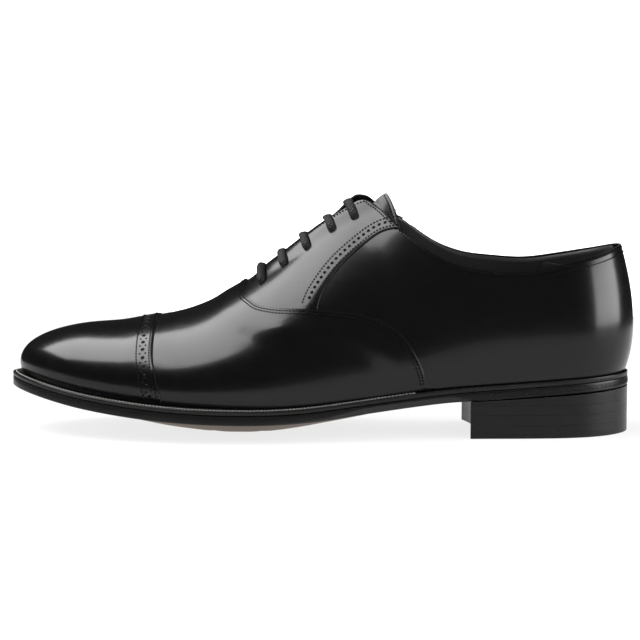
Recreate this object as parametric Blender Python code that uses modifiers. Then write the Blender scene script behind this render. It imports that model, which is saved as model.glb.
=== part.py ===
"""A left leather oxford shoe with a welted sole, a punched straight toe cap, punched facings and a stacked
leather heel. Metres, +Z up, +X from the toe to the heel, -Y the outer (lateral) side."""

import math

import bmesh
import bpy
import numpy as np
from mathutils import Matrix, Vector

MM = 0.001

# ---------------------------------------------------------------------------------------------------------
# The last: a surface of two sides (-1 lateral, +1 medial). Along it s runs from 0 at the back of the heel
# to 1 at the toe tip; up it v runs from 0 at the feather line to 1 at the ridge. Lengths are in mm.
# CENTRE_Y moves the last sideways, which puts the middle of the shoe's box over the origin.

LATERAL = [(147.5, 0), (142.5, -14), (129, -25.5), (106, -31), (75, -32), (42, -34.5), (8, -39.5), (-28, -45),
           (-66, -43.5), (-100, -34.5), (-125, -22.5), (-141, -8), (-146.5, 5)]
MEDIAL = [(147.5, 0), (142.5, 14), (129, 25.5), (107, 30), (80, 28.5), (50, 26.5), (20, 29), (-10, 36),
          (-40, 42), (-72, 42.5), (-103, 37), (-128, 28), (-142, 17), (-146.5, 5)]
RIDGE_X = [-148, -146, -142, -136.5, -128.6, -117, -99, -81.6, -64, -46, -34.5, -26, -12.5, 3.7, 17, 31, 45,
           60, 80, 110, 144]
RIDGE_HEIGHT = [34, 37.7, 41.2, 45, 48.4, 51.1, 52.7, 55.4, 59.4, 67.4, 74, 79.3, 89.5, 101.5, 109.5, 116,
                119.5, 120.5, 119, 115, 108]
FEATHER_X = [-147, -131, -118, -99, -79, -59, -35, -10, 15, 39, 55, 86, 116, 148]
FEATHER_HEIGHT = [27.8, 24.6, 22.2, 19.6, 17.6, 16.4, 15.8, 16.4, 18.9, 21.8, 23.6, 26, 28, 29.5]
STATIONS = [0, .05, .10, .15, .20, .25, .30, .35, .40, .45, .50, .55, .60, .70, .80, .85, .90, .95, 1]
CROWN_X = [138.5, 135.5, 127, 113, 96, 77, 57, 39, 24.5, 11, -2, -15, -28, -57, -84, -95, -103, -107, -108]
CONE_STATIONS = 9
CONE_Y = [0, 7, 13.5, 18, 19, 17, 12, 4.5, 0]
TENTHS = [0, .1, .2, .3, .4, .5, .6, .7, .8, .9, 1]
BULGE = [8.8, 8.5, 8, 8, 7, 6, 6, 6, 6, 6, 6]
LOW_RISE = [.30, .30, .32, .36, .42, .48, .52, .56, .60, .68, .72]
HIGH_INSET = [0, .1, .35, .55, .70, .66, .58, .50, .45, .42, .40]
HIGH_RISE = [.70, .70, .74, .88, 1, 1, 1, 1, 1, 1, 1]
RIDGE_DRIFT = 5.0
CONE_END = 0.4
FLANGE = 7.0
CENTRE_Y = 1.88
END_SLOPE = .985

# ---------------------------------------------------------------------------------------------------------
# Panel edges as (s, v). Where two leathers overlap, the lower one runs on under the upper one.

VAMP_EDGE = [(.345, 0), (.351, .075), (.358, .121), (.365, .157), (.371, .186), (.380, .215), (.397, .256),
             (.419, .296), (.443, .326), (.468, .354), (.495, .385), (.530, .432), (.562, .486), (.585, .541),
             (.597, .577), (.609, .634), (.622, .713), (.629, .826), (.629, 1)]
CAP_EDGE = [(.729, 0), (.731, .097), (.735, .160), (.740, .259), (.745, .346), (.751, .474), (.756, .583),
            (.766, .777), (.782, 1)]
CAP_LAP = .024
TOPLINE = {-1: [(.0016, .756), (.041, .742), (.065, .719), (.101, .677), (.142, .627), (.181, .573),
                (.219, .538), (.265, .512), (.288, .509), (.305, .516), (.321, .531), (.337, .557),
                (.354, .591), (.370, .646)],
           1: [(.0016, .757), (.016, .756), (.060, .730), (.095, .696), (.148, .638), (.198, .590),
               (.224, .576), (.253, .562), (.283, .552), (.306, .561), (.328, .589), (.349, .638),
               (.360, .676)]}
FACING_REAR = [(.385, .645), (.400, .640), (.420, .622), (.447, .587), (.466, .556), (.484, .510),
               (.499, .455), (.504, .410), (.506, .375)]
FACING_TOP = [(.381, .700), (.392, .767), (.400, .822), (.408, .879), (.424, .945)]
THROAT_EDGE = [(.424, .945), (.470, .955), (.540, .962), (.600, .966), (.650, .966)]
FACING_TOE = [(.506, .375), (.548, .392), (.584, .446), (.607, .510), (.619, .560), (.631, .620),
              (.643, .700), (.650, .820), (.650, .966)]
QUARTER_TUCK = [(.395, .668), (.415, .668), (.438, .641), (.463, .611), (.482, .570), (.493, .530),
                (.498, .480), (.494, .430), (.494, .335)]
QUARTER_FOOT = [(.0016, 0), (.100, 0), (.200, 0), (.300, 0), (.338, 0), (.350, .035), (.368, .05),
                (.376, .075), (.382, .10), (.389, .125), (.398, .158), (.415, .200), (.433, .245),
                (.452, .277), (.474, .303), (.494, .335)]
QUARTER_CORNER = {-1: (.376, .652), 1: (.376, .676)}
QUARTER_FLANGE_END = .335
LINING_FLANGE_END = .6
LINING_SEAM = [(.500, 0), (.540, .25), (.580, .50), (.612, .75), (.628, .962)]
EYELETS = [(.601, .790), (.564, .818), (.524, .822), (.480, .828), (.441, .824)]
LINING_BACK_SEAM = .003
TONGUE_TOE = .632
TONGUE_TOP = .378
TONGUE_FOOT = .64
TONGUE_BEND = .425
COUNTER_REACH = .25
GRIP_REACH = .16
GRIP_HEIGHTS = [.2, .35, .5, .6]
PUFF_REAR = (.80, .84)
RIB_START = .30
CORK_RANGE = (.34, .88)
SHANK_RANGE = (.14, .50)

# ---------------------------------------------------------------------------------------------------------
# Leather and sole thicknesses and levels, in mm; a level is measured outwards from the last's surface.
# An overlap is (how far from the hidden edge a panel keeps its sunk or raised level, how far it fades over).

UPPER = 1.2
CAP_THICKNESS = 1.0
LINING = 0.9
CAP_LEVEL = 0.5
VAMP_LIFT = 0.9
TUCK = -1.4
UNDER_CAP = -1.4
FACING_LIFT = 0.9
VAMP_OVERLAP = (9, 12)
QUARTER_OVERLAP = (8, 7)
FACING_REAR_OVERLAP = (9, 9)
FACING_TOE_OVERLAP = (8, 6)
LINING_LEVEL = -2.9
BACK_LINING_LEVEL = -3.8
GRIP_LEVEL = -5.4
GRIP = 0.8
COUNTER_LEVEL = -1.65
COUNTER = 1.4
PUFF_LEVEL = -1.2
PUFF = 1.2
TONGUE_LEVEL = -8.7
TONGUE = 2.2
TONGUE_RISE = (2.7, 6.9)

WELT = 2.1
GAP = 0.3
OUTSOLE = 4.4
INSOLE_UNDER = 5.2
INSOLE = 2.4
SOCK = 1.0
RIM_X = [-146, -100, -60, 0, 40, 75, 120, 150]
SOLE_RIM = {-1: [5.1, 6.0, 6.0, 4.2, 2.5, 1.6, 1.2, 1.2], 1: [5.1, 5.0, 4.2, 1.4, 1.0, 1.4, 1.2, 1.2]}
BEVEL_X = [-150, -30, 0, 20, 60, 75, 150]
WAIST_BEVEL = [.4, .4, 1.2, 3.2, 3.2, .4, .4]
CROWN_AT = [-152, -140, -110, -75, -40, 0, 30, 60, 75, 150]
SOLE_CROWN = [0, 1.5, 4.8, 8.5, 11.0, 6.5, 4.0, 1.0, 0, 0]
FULL_CROWN_WIDTH = 60.0
BREAST_X = 70.0
BREAST_DEPTH = 5.0
HEEL_RIM = 1.2
HEEL_FRONT = .285
HEEL_END_X = 148.0
TOP_PIECE = 6.2
LIFT = 4.6
RUBBER_X = 112.0
NAILS = [(84, -20), (84, 18), (100, -22), (100, 20)]

# The lace: one flat-woven waxed cord laced straight across, its two ends tucked away inside the shoe.
LACE_RADIUS = 1.35
TAIL_RADIUS = 1.2
EYELET_BORE = 1.9
EYELET_WALL = 0.3
EYELET_HOLE = 2.5
EYELET_FLANGE = 1.1
AGLET_LENGTH = 22.0
AGLET_RADIUS = 1.5
LACE_DEPTH = -6.7
LACE_HEIGHT = 3.1
# The tucked ends as (s, v, level): down the inside of the wall beside the tongue, then towards the toe.
TAILS = {-1: [(.430, .700, -6.0), (.424, .560, -5.6), (.420, .430, -5.6), (.424, .330, -5.8),
              (.440, .260, -6.2), (.470, .225, -6.6), (.510, .215, -7.2), (.550, .215, -8.4),
              (.590, .235, -10.4), (.630, .270, -13.0)],
         1: [(.612, .640, -6.0), (.600, .520, -5.6), (.580, .420, -5.6), (.550, .340, -5.8),
             (.515, .280, -6.2), (.475, .240, -6.6), (.435, .225, -7.2), (.395, .225, -8.0),
             (.355, .225, -9.0), (.315, .225, -9.6), (.275, .225, -9.6)]}

BLACK_CALF = (0.012, 0.012, 0.013)
LINING_BLACK = (0.02, 0.02, 0.021)
SOLE_BLACK = (0.016, 0.016, 0.017)
TAN = (0.36, 0.2, 0.1)


def natural_spline(knots, values):
    """The natural cubic spline through the values, as a function."""
    t = np.asarray(knots, float)
    y = np.asarray(values, float)
    h = np.diff(t)
    n = len(t)
    a = np.eye(n)
    r = np.zeros_like(y)
    for i in range(1, n - 1):
        a[i, i - 1:i + 2] = h[i - 1], 2 * (h[i - 1] + h[i]), h[i]
        r[i] = 6 * ((y[i + 1] - y[i]) / h[i] - (y[i] - y[i - 1]) / h[i - 1])
    m = np.linalg.solve(a, r)

    def at(x):
        x = np.asarray(x, float)
        i = np.clip(np.searchsorted(t, x) - 1, 0, n - 2)
        f, g, step = t[i + 1] - x, x - t[i], h[i]
        if y.ndim > 1:
            f, g, step = f[..., None], g[..., None], step[..., None]
        return ((m[i] * f**3 + m[i + 1] * g**3) / (6 * step)
                + (y[i] / step - m[i] * step / 6) * f + (y[i + 1] / step - m[i + 1] * step / 6) * g)
    return at


def outline(mine, other):
    """One side of the feather line, running on past both ends so that the two sides meet smoothly."""
    points = np.array(other[3:0:-1] + mine + other[-2:-5:-1], float) + (0, CENTRE_Y)
    reach = np.concatenate([[0], np.cumsum(np.linalg.norm(np.diff(points, axis=0), axis=1))])
    start, end = reach[3], reach[3 + len(mine) - 1]
    return natural_spline((reach - start) / (end - start), points)


FEATHER = {-1: outline(LATERAL, MEDIAL), 1: outline(MEDIAL, LATERAL)}
RIDGE = natural_spline(RIDGE_X, RIDGE_HEIGHT)
FEATHER_Z = natural_spline(FEATHER_X, FEATHER_HEIGHT)
CROWN_LINE = natural_spline(STATIONS, CROWN_X)
CONE = natural_spline(STATIONS[:CONE_STATIONS], CONE_Y)
BULGE_AT = natural_spline(TENTHS, BULGE)
LOW_RISE_AT = natural_spline(TENTHS, LOW_RISE)
HIGH_INSET_AT = natural_spline(TENTHS, HIGH_INSET)
HIGH_RISE_AT = natural_spline(TENTHS, HIGH_RISE)


def smooth(t):
    t = np.clip(t, 0, 1)
    return t * t * (3 - 2 * t)


def outward_in_plan(side, s):
    step = 1e-3
    ahead = FEATHER[side](s + step) - FEATHER[side](s - step)
    ahead /= np.linalg.norm(ahead, axis=-1)[..., None]
    return np.stack([ahead[..., 1], -ahead[..., 0]], -1) * side


def rim(side, s, outset=0.0):
    """The feather line's plan, moved outwards; the two sides share their first and last points."""
    s = np.asarray(s, float)
    outward = outward_in_plan(side, s)
    shared = (s < 1e-6) | (s > 1 - 1e-6)
    outward = np.where(shared[..., None], (outward + outward_in_plan(-side, s)) / 2, outward)
    return FEATHER[side](s) + outward * np.asarray(outset)[..., None]


def last(side, s, v):
    """The last's surface; below v = 0 it turns in flat under the foot, by FLANGE at v = -1."""
    s, v = np.broadcast_arrays(np.asarray(s, float), np.asarray(v, float))
    under = np.clip(-v, 0, 1)
    v = np.clip(v, 0, 1)
    foot = FEATHER[side](s)
    x = CROWN_LINE(s)
    y = np.where(s < CONE_END, CONE(np.minimum(s, CONE_END)), 0) * side
    y = y + CENTRE_Y + RIDGE_DRIFT * np.clip((20 - x) / 166.5, 0, 1) ** 1.5
    span = np.hypot(foot[..., 0] - x, foot[..., 1] - y)
    a, b, c = 3 * v * (1 - v)**2, 3 * v**2 * (1 - v), v**3
    u = -a * BULGE_AT(s) / span + b * HIGH_INSET_AT(s) + c
    h = a * LOW_RISE_AT(s) + b * np.minimum(HIGH_RISE_AT(s), 1) + c
    plan = foot + (np.stack([x, y], -1) - foot) * u[..., None]
    slope = (RIDGE(x + .5) - RIDGE(x - .5)) * np.clip((s - .2) / .15, 0, 1)
    roof = RIDGE(x) + slope * (plan[..., 0] - x)
    floor = FEATHER_Z(foot[..., 0])
    z = floor + (roof - floor) * h
    turned_in = rim(side, s, -FLANGE * under)
    plan = plan + turned_in - foot
    z = z + FEATHER_Z(turned_in[..., 0]) - floor
    return np.concatenate([plan, z[..., None]], -1)


def side_normal(side, s, v):
    step = 2e-3
    s, v = np.broadcast_arrays(np.asarray(s, float), np.asarray(v, float))
    v = np.clip(v, 0, 1)
    s = np.where((s > END_SLOPE) & (v > END_SLOPE), END_SLOPE, s)
    low_s, high_s = np.clip(s - step, 0, 1), np.clip(s + step, 0, 1)
    low_v, high_v = np.clip(v - step, 0, 1), np.clip(v + step, 0, 1)
    n = np.cross(last(side, high_s, v) - last(side, low_s, v), last(side, s, high_v) - last(side, s, low_v))
    return n / np.linalg.norm(n, axis=-1)[..., None] * side


def normal(side, s, v):
    """The outward direction; shared by the two sides where they meet, mitred at the feather line."""
    s, v = np.broadcast_arrays(np.asarray(s, float), np.asarray(v, float))
    n = side_normal(side, s, v)
    shared = (s < 1e-4) | (s > .9999) | (v > .9999)
    both = np.where(shared[..., None], n + side_normal(-side, s, v), n)
    n = both / np.linalg.norm(both, axis=-1)[..., None]
    down = np.array([0, 0, -1.0])
    mitre = (n + down) / (1 + n @ down)[..., None]
    n = np.where((np.abs(v) < 1e-6)[..., None], mitre, n)
    return np.where((v < -1e-6)[..., None], down, n)


def skin(side, s, v, level=0.0):
    """Points at a level above the last's surface; nothing stands proud of it from the feather down."""
    level = np.where(np.asarray(v) < 1e-6, np.minimum(level, 0), level)
    return last(side, s, v) + normal(side, s, v) * level[..., None]


# ---------------------------------------------------------------------------------------------------------
# Building helpers


def clear_scene():
    for item in list(bpy.data.objects):
        bpy.data.objects.remove(item, do_unlink=True)


def collection(name):
    made = bpy.data.collections.new(name)
    bpy.context.scene.collection.children.link(made)
    return made


def material(name, colour, roughness, metallic=0.0):
    made = bpy.data.materials.new(name)
    made.use_nodes = True
    shader = made.node_tree.nodes["Principled BSDF"]
    shader.inputs["Base Color"].default_value = (*colour, 1)
    shader.inputs["Roughness"].default_value = roughness
    shader.inputs["Metallic"].default_value = metallic
    return made


def add_object(name, mesh, group, colour=BLACK_CALF, roughness=0.3, metallic=0.0):
    item = bpy.data.objects.new(name, mesh)
    group.objects.link(item)
    if colour is not None:
        mesh.materials.append(material(name, colour, roughness, metallic))
    return item


def shade(item, angle=35):
    item.data.shade_smooth()
    item.data.set_sharp_from_angle(angle=math.radians(angle))


def mesh_from(name, bm):
    bmesh.ops.recalc_face_normals(bm, faces=bm.faces)
    mesh = bpy.data.meshes.new(name)
    bm.to_mesh(mesh)
    bm.free()
    return mesh


def add_sheet(bm, points, keep=None):
    """Faces between the rows of a grid of points in mm; keep says which faces to make."""
    rows, columns = points.shape[:2]
    verts = [[bm.verts.new(points[i, j] * MM) for j in range(columns)] for i in range(rows)]
    for i in range(rows - 1):
        for j in range(columns - 1):
            if keep is None or keep[i, j]:
                bm.faces.new((verts[i][j], verts[i][j + 1], verts[i + 1][j + 1], verts[i + 1][j]))


def tidy(bm):
    bmesh.ops.delete(bm, geom=[v for v in bm.verts if not v.link_faces], context="VERTS")
    bmesh.ops.remove_doubles(bm, verts=bm.verts, dist=0.00005)
    bmesh.ops.dissolve_degenerate(bm, edges=bm.edges, dist=0.00001)


def point_outwards(bm, inside):
    """Turns the open sheet's faces away from a point inside it."""
    bmesh.ops.recalc_face_normals(bm, faces=bm.faces)
    away = sum((f.calc_center_median() - inside).dot(f.normal) * f.calc_area() for f in bm.faces)
    if away < 0:
        bmesh.ops.reverse_faces(bm, faces=bm.faces)


def leather(name, group, sheets, thickness, **look):
    """A leather piece: open sheets joined along their shared edges and thickened inwards."""
    bm = bmesh.new()
    for points, keep in sheets:
        add_sheet(bm, points, keep)
    tidy(bm)
    spread = [v.co for v in bm.verts]
    middle = sum(spread, Vector()) / len(spread)
    point_outwards(bm, Vector((middle.x, 0, 0.03)))
    mesh = bpy.data.meshes.new(name)
    bm.to_mesh(mesh)
    bm.free()
    item = add_object(name, mesh, group, **look)
    solid = item.modifiers.new("Thickness", "SOLIDIFY")
    solid.thickness = thickness * MM
    solid.offset = -1
    solid.use_even_offset = True
    shade(item)
    return item


def slab(name, group, bottom, top, middle=None, **look):
    """A closed sole piece between a lower and an upper grid of points, in mm, over the same rim. A middle
    grid lends its rim to the edge, which gives the lower edge a bevel."""
    bm = bmesh.new()
    add_sheet(bm, bottom)
    add_sheet(bm, top)
    layers = [bottom, top] if middle is None else [bottom, middle, top]
    for lower, upper in zip(layers[:-1], layers[1:]):
        for edge in (0, -1):
            add_sheet(bm, np.stack([lower[edge], upper[edge]]))
            add_sheet(bm, np.stack([lower[:, edge], upper[:, edge]]))
    tidy(bm)
    item = add_object(name, mesh_from(name, bm), group, **look)
    shade(item)
    return item


def plate(name, group, plan, lower, upper, **look):
    """A closed plate over a plan outline in mm, between two heights that may depend on x."""
    bm = bmesh.new()
    face = bm.faces.new([bm.verts.new((x * MM, y * MM, 0)) for x, y in plan])
    made = bmesh.ops.extrude_face_region(bm, geom=[face])
    raised = {v for v in made["geom"] if isinstance(v, bmesh.types.BMVert)}
    for v in bm.verts:
        x = v.co.x / MM
        v.co.z = (upper(x) if v in raised else lower(x)) * MM
    item = add_object(name, mesh_from(name, bm), group, **look)
    shade(item)
    return item


def curve_mesh(name, points, radius, sides=8):
    """A round cord along points in mm."""
    curve = bpy.data.curves.new(name, "CURVE")
    curve.dimensions = "3D"
    curve.bevel_depth = radius * MM
    curve.bevel_resolution = (sides - 4) // 2
    curve.use_fill_caps = True
    line = curve.splines.new("POLY")
    line.points.add(len(points) - 1)
    for slot, point in zip(line.points, points):
        slot.co = (*(np.asarray(point) * MM), 1)
    holder = bpy.data.objects.new(name + "_curve", curve)
    bpy.context.scene.collection.objects.link(holder)
    mesh = bpy.data.meshes.new_from_object(holder.evaluated_get(bpy.context.evaluated_depsgraph_get()))
    bpy.data.objects.remove(holder, do_unlink=True)
    bm = bmesh.new()
    bm.from_mesh(mesh)
    bmesh.ops.remove_doubles(bm, verts=bm.verts, dist=0.00002)
    bpy.data.meshes.remove(mesh)
    return mesh_from(name, bm)


def turned(name, group, profile, place, steps=10, **look):
    """A turned ring: a closed (radius, height) profile in mm swept round Z, then placed."""
    bm = bmesh.new()
    ring = [bm.verts.new((r * MM, 0, z * MM)) for r, z in profile]
    edges = [bm.edges.new((ring[i], ring[(i + 1) % len(ring)])) for i in range(len(ring))]
    bmesh.ops.spin(bm, geom=ring + edges, cent=(0, 0, 0), axis=(0, 0, 1), angle=math.tau, steps=steps,
                   use_merge=True)
    bmesh.ops.remove_doubles(bm, verts=bm.verts, dist=0.00001)
    item = add_object(name, mesh_from(name, bm), group, **look)
    item.matrix_world = place
    shade(item)
    return item


def cylinder(name, group, radius, depth, place, sides=8, **look):
    bm = bmesh.new()
    bmesh.ops.create_cone(bm, cap_ends=True, segments=sides, radius1=radius * MM, radius2=radius * MM,
                          depth=depth * MM)
    item = add_object(name, mesh_from(name, bm), group, **look)
    item.matrix_world = place
    shade(item)
    return item


def cut(item, cutters):
    for cutter in cutters:
        hole = item.modifiers.new("Hole", "BOOLEAN")
        hole.operation = "DIFFERENCE"
        hole.solver = "EXACT"
        hole.object = cutter


def along(points, count):
    """Evenly spaced points on the polyline through (s, v) points."""
    points = np.asarray(points, float)
    reach = np.concatenate([[0], np.cumsum(np.hypot(*np.diff(points, axis=0).T))])
    at = np.linspace(0, reach[-1], count)
    return np.stack([np.interp(at, reach, points[:, k]) for k in (0, 1)], -1)


def patch(foot, top, back, front, rows, columns):
    """A Coons patch in (s, v) between four edges; foot and top run forward, back and front run up."""
    foot, top = along(foot, columns), along(top, columns)
    back, front = along(back, rows), along(front, rows)
    u = np.linspace(0, 1, columns)[None, :, None]
    w = np.linspace(0, 1, rows)[:, None, None]
    corners = ((1 - u) * (1 - w) * foot[0] + u * (1 - w) * foot[-1]
               + (1 - u) * w * top[0] + u * w * top[-1])
    return ((1 - w) * foot[None] + w * top[None] + (1 - u) * back[:, None] + u * front[:, None] - corners)


def away_from(side, grid, edge):
    """Distance in mm from each grid point to an edge given in (s, v)."""
    fine = along(edge, 60)
    near = last(side, fine[:, 0], fine[:, 1])
    here = last(side, grid[..., 0], grid[..., 1])
    return np.linalg.norm(here[..., None, :] - near, axis=-1).min(-1)


def near(side, grid, edge, overlap):
    """1 close to an edge, fading to 0 as its overlap says."""
    return 1 - smooth((away_from(side, grid, edge) - overlap[0]) / overlap[1])


def edge_at(edge, v):
    """An edge's s at each v."""
    edge = np.asarray(edge)
    return np.interp(v, edge[:, 1], edge[:, 0])


# ---------------------------------------------------------------------------------------------------------
# The upper

V_ROWS = np.array([-1, 0, .07, .15, .24, .34, .44, .54, .64, .74, .83, .92, 1])


def band(side, rear, front, columns, level, rows=V_ROWS):
    """A sheet from one edge to another at fixed heights on the last, from the flange to the ridge."""
    w = np.linspace(0, 1, columns)[None]
    v = np.broadcast_to(rows[:, None], (len(rows), columns))
    s = rear(np.maximum(rows, 0))[:, None] * (1 - w) + front(np.maximum(rows, 0))[:, None] * w
    return skin(side, s, v, level(side, np.stack([s, v], -1))), None


def make_toe_cap(group):
    sheets = [band(side, lambda v: edge_at(CAP_EDGE, v), lambda v: np.ones_like(v), 14,
                   lambda side, grid: CAP_LEVEL + 0 * grid[..., 0]) for side in (-1, 1)]
    return leather("toe_cap", group, sheets, CAP_THICKNESS, roughness=0.22)


def vamp_level(side, grid):
    under_cap = [(s + CAP_LAP, v) for s, v in CAP_EDGE]
    return (VAMP_LIFT * near(side, grid, VAMP_EDGE, VAMP_OVERLAP)
            + UNDER_CAP * near(side, grid, under_cap, VAMP_OVERLAP))


def make_vamp(group):
    sheets = [band(side, lambda v: edge_at(VAMP_EDGE, v), lambda v: edge_at(CAP_EDGE, v) + CAP_LAP, 15,
                   vamp_level) for side in (-1, 1)]
    return leather("vamp", group, sheets, UPPER, roughness=0.24)


def with_flange(side, grid, level, last_s):
    """The sheet on a patch, with a turned-in row below it as far forward as last_s."""
    row = grid[:1].copy()
    row[..., 1] = -1
    grid = np.concatenate([row, grid])
    level = np.concatenate([level[:1], level])
    keep = np.ones((len(grid) - 1, grid.shape[1] - 1), bool)
    keep[0] = grid[1, 1:, 0] < last_s
    return skin(side, grid[..., 0], grid[..., 1], level), keep


def make_quarter(side, group):
    top = TOPLINE[side][:-1] + [QUARTER_CORNER[side]] + QUARTER_TUCK
    grid = patch(QUARTER_FOOT, top, [QUARTER_FOOT[0], top[0]], [QUARTER_FOOT[-1], top[-1]], 9, 30)
    hidden = np.maximum(near(side, grid, QUARTER_FOOT[4:], QUARTER_OVERLAP),
                        near(side, grid, QUARTER_TUCK, QUARTER_OVERLAP))
    sheet = with_flange(side, grid, TUCK * hidden, QUARTER_FLANGE_END)
    name = "quarter_lateral" if side < 0 else "quarter_medial"
    return leather(name, group, [sheet], UPPER, roughness=0.26)


def facing_edges(side):
    start = TOPLINE[side][-1]
    rear = [start] + FACING_REAR
    top = [start] + (FACING_TOP if side < 0 else FACING_TOP[1:])
    return rear, THROAT_EDGE, top, FACING_TOE


def make_facing(side, group):
    rear, throat, top, toe = facing_edges(side)
    grid = patch(rear, throat, top, toe, 9, 18)
    raised = FACING_LIFT * near(side, grid, rear, FACING_REAR_OVERLAP)
    tucked = near(side, grid, toe, FACING_TOE_OVERLAP)
    level = raised * (1 - tucked) + TUCK * tucked
    name = "facing_lateral" if side < 0 else "facing_medial"
    return leather(name, group, [(skin(side, grid[..., 0], grid[..., 1], level), None)], UPPER,
                   roughness=0.22)


def tongue_half(side, s, t):
    """The tongue's outer face from its side edge (t = 0) to its middle (t = 1). It lies deep under the
    facings to clear the lace, and rises out of the topline at its free end."""
    forward = smooth((TONGUE_BEND - s) / .04)
    edge = skin(side, s, TONGUE_FOOT, TONGUE_LEVEL + forward * TONGUE_RISE[0])
    middle = skin(side, s, 1.0 + 0 * s, TONGUE_LEVEL + forward * TONGUE_RISE[1])
    plan = edge[..., :2] + (middle - edge)[..., :2] * t[..., None]
    z = edge[..., 2] + (middle - edge)[..., 2] * t * (1 + .35 * (1 - t))
    return np.concatenate([plan, z[..., None]], -1)


def make_tongue(group):
    sheets = []
    stations = np.append(np.linspace(TONGUE_TOP, .43, 5), np.linspace(.45, TONGUE_TOE, 10))
    for side in (-1, 1):
        s, t = np.meshgrid(stations, np.linspace(0, 1, 6))
        sheets.append((tongue_half(side, s, t), None))
    return leather("tongue", group, sheets, TONGUE, roughness=0.3)


# ---------------------------------------------------------------------------------------------------------
# Linings and stiffeners


def make_vamp_lining(group):
    sheets = [band(side, lambda v: edge_at(LINING_SEAM, v) + .002, lambda v: np.ones_like(v), 20,
                   lambda side, grid: LINING_LEVEL + 0 * grid[..., 0]) for side in (-1, 1)]
    return leather("vamp_lining", group, sheets, LINING, colour=LINING_BLACK, roughness=0.6)


def back_level(s):
    return LINING_LEVEL + (BACK_LINING_LEVEL - LINING_LEVEL) * smooth((.36 - s) / .07)


def make_quarter_lining(side, group):
    seam = LINING_BACK_SEAM
    height = TOPLINE[side][0][1]
    grid = patch([(seam, 0), (.500, 0)], [(seam, height)] + TOPLINE[side][1:]
                 + (FACING_TOP if side < 0 else FACING_TOP[1:]) + THROAT_EDGE[1:3] + [LINING_SEAM[-1]],
                 [(seam, 0), (seam, height)], LINING_SEAM, 9, 32)
    sheet = with_flange(side, grid, back_level(grid[..., 0]), LINING_FLANGE_END)
    name = "quarter_lining_lateral" if side < 0 else "quarter_lining_medial"
    return leather(name, group, [sheet], LINING, colour=LINING_BLACK, roughness=0.6)


def wrap(side, reach, height, rows, columns, level):
    """A flanged sheet round the back of the heel, from its middle to s = reach, up to a height that varies
    with s."""
    s = np.broadcast_to(np.linspace(0, reach, columns), (rows, columns))
    w = np.linspace(0, 1, rows - 1)[:, None]
    v = np.concatenate([np.full((1, columns), -1.0), w * height(s[:-1] / reach)])
    return skin(side, s, v, level + 0 * s), None


def make_counter(group):
    sheets = [wrap(side, COUNTER_REACH, lambda t: .56 - .16 * t**2, 7, 11, COUNTER_LEVEL)
              for side in (-1, 1)]
    return leather("heel_counter", group, sheets, COUNTER, colour=(0.5, 0.4, 0.28), roughness=0.8)


def make_heel_grip(group):
    sheets = []
    for side in (-1, 1):
        s, v = np.meshgrid(np.linspace(0, GRIP_REACH, 8), GRIP_HEIGHTS)
        sheets.append((skin(side, s, v, GRIP_LEVEL + 0 * s), None))
    return leather("heel_grip", group, sheets, GRIP, colour=(0.03, 0.03, 0.03), roughness=0.9)


def make_toe_puff(group):
    sheets = [band(side, lambda v: np.interp(v, (0, 1), PUFF_REAR), lambda v: np.ones_like(v), 11,
                   lambda side, grid: PUFF_LEVEL + 0 * grid[..., 0], V_ROWS[2:]) for side in (-1, 1)]
    return leather("toe_puff", group, sheets, PUFF, colour=(0.5, 0.4, 0.28), roughness=0.8)


# ---------------------------------------------------------------------------------------------------------
# The bottom


def crown(t, x, width):
    """How far the sole sags below its rim, t of the way across."""
    depth = np.interp(x, CROWN_AT, SOLE_CROWN) * smooth(width / FULL_CROWN_WIDTH)
    return depth * smooth((np.minimum(t, 1 - t) - .08) / .42)


def lens(outset, level, stations, across=8):
    """A grid that fills the feather line's plan, moved outwards by outset(side, x), at a level."""
    t = np.linspace(0, 1, across)[None, :]
    out = {k: outset(k, FEATHER[k](stations)[..., 0]) for k in (-1, 1)}
    sides = {k: rim(k, stations, out[k]) for k in (-1, 1)}
    plan = sides[-1][:, None] * (1 - t[..., None]) + sides[1][:, None] * t[..., None]
    own = np.linalg.norm(sides[1] - sides[-1], axis=-1)
    whole = np.maximum(own - out[-1] - out[1], 1e-3)
    x = plan[..., 0]
    across_foot = (t * own[:, None] - out[-1][:, None]) / whole[:, None]
    z = FEATHER_Z(np.clip(x, -150, 150)) + level - crown(across_foot, x, whole[:, None])
    return np.concatenate([plan, z[..., None]], -1)


SOLE_STATIONS = np.concatenate([[0, .01, .03], np.linspace(.06, .94, 28), [.97, .99, 1]])
INNER_STATIONS = np.linspace(0, 1, 21)


def sole_rim(side, x):
    return np.interp(x, RIM_X, SOLE_RIM[side])


def make_outsole(group):
    upper = -(WELT + 2 * GAP)

    def lowered(side, x):
        return sole_rim(side, x) - np.interp(x, BEVEL_X, WAIST_BEVEL)

    top = lens(sole_rim, upper, SOLE_STATIONS)
    bottom = lens(lowered, upper - OUTSOLE, SOLE_STATIONS)
    middle = lens(sole_rim, upper - OUTSOLE, SOLE_STATIONS)
    middle[..., 2] += np.interp(middle[..., 0], BEVEL_X, WAIST_BEVEL)
    bottom[..., 2] = np.maximum(bottom[..., 2], 0)
    return slab("outsole", group, bottom, top, middle, colour=SOLE_BLACK, roughness=0.35)


def ring_grid(side_stations, outer, inner, level):
    """A strip along the feather line on both sides, from outset inner to outset outer."""
    rows = []
    for side, stations in side_stations:
        x = FEATHER[side](stations)[..., 0]
        rows.append(np.stack([rim(side, stations, inner + 0 * x), rim(side, stations, outer(side, x))], 1))
    plan = np.concatenate(rows)
    z = FEATHER_Z(np.clip(plan[..., 0], -150, 150)) + level
    return np.concatenate([plan, z[..., None]], -1)


def make_strip(name, group, path, outer, inner, lower, upper, **look):
    return slab(name, group, ring_grid(path, outer, inner, lower), ring_grid(path, outer, inner, upper),
                **look)


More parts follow.
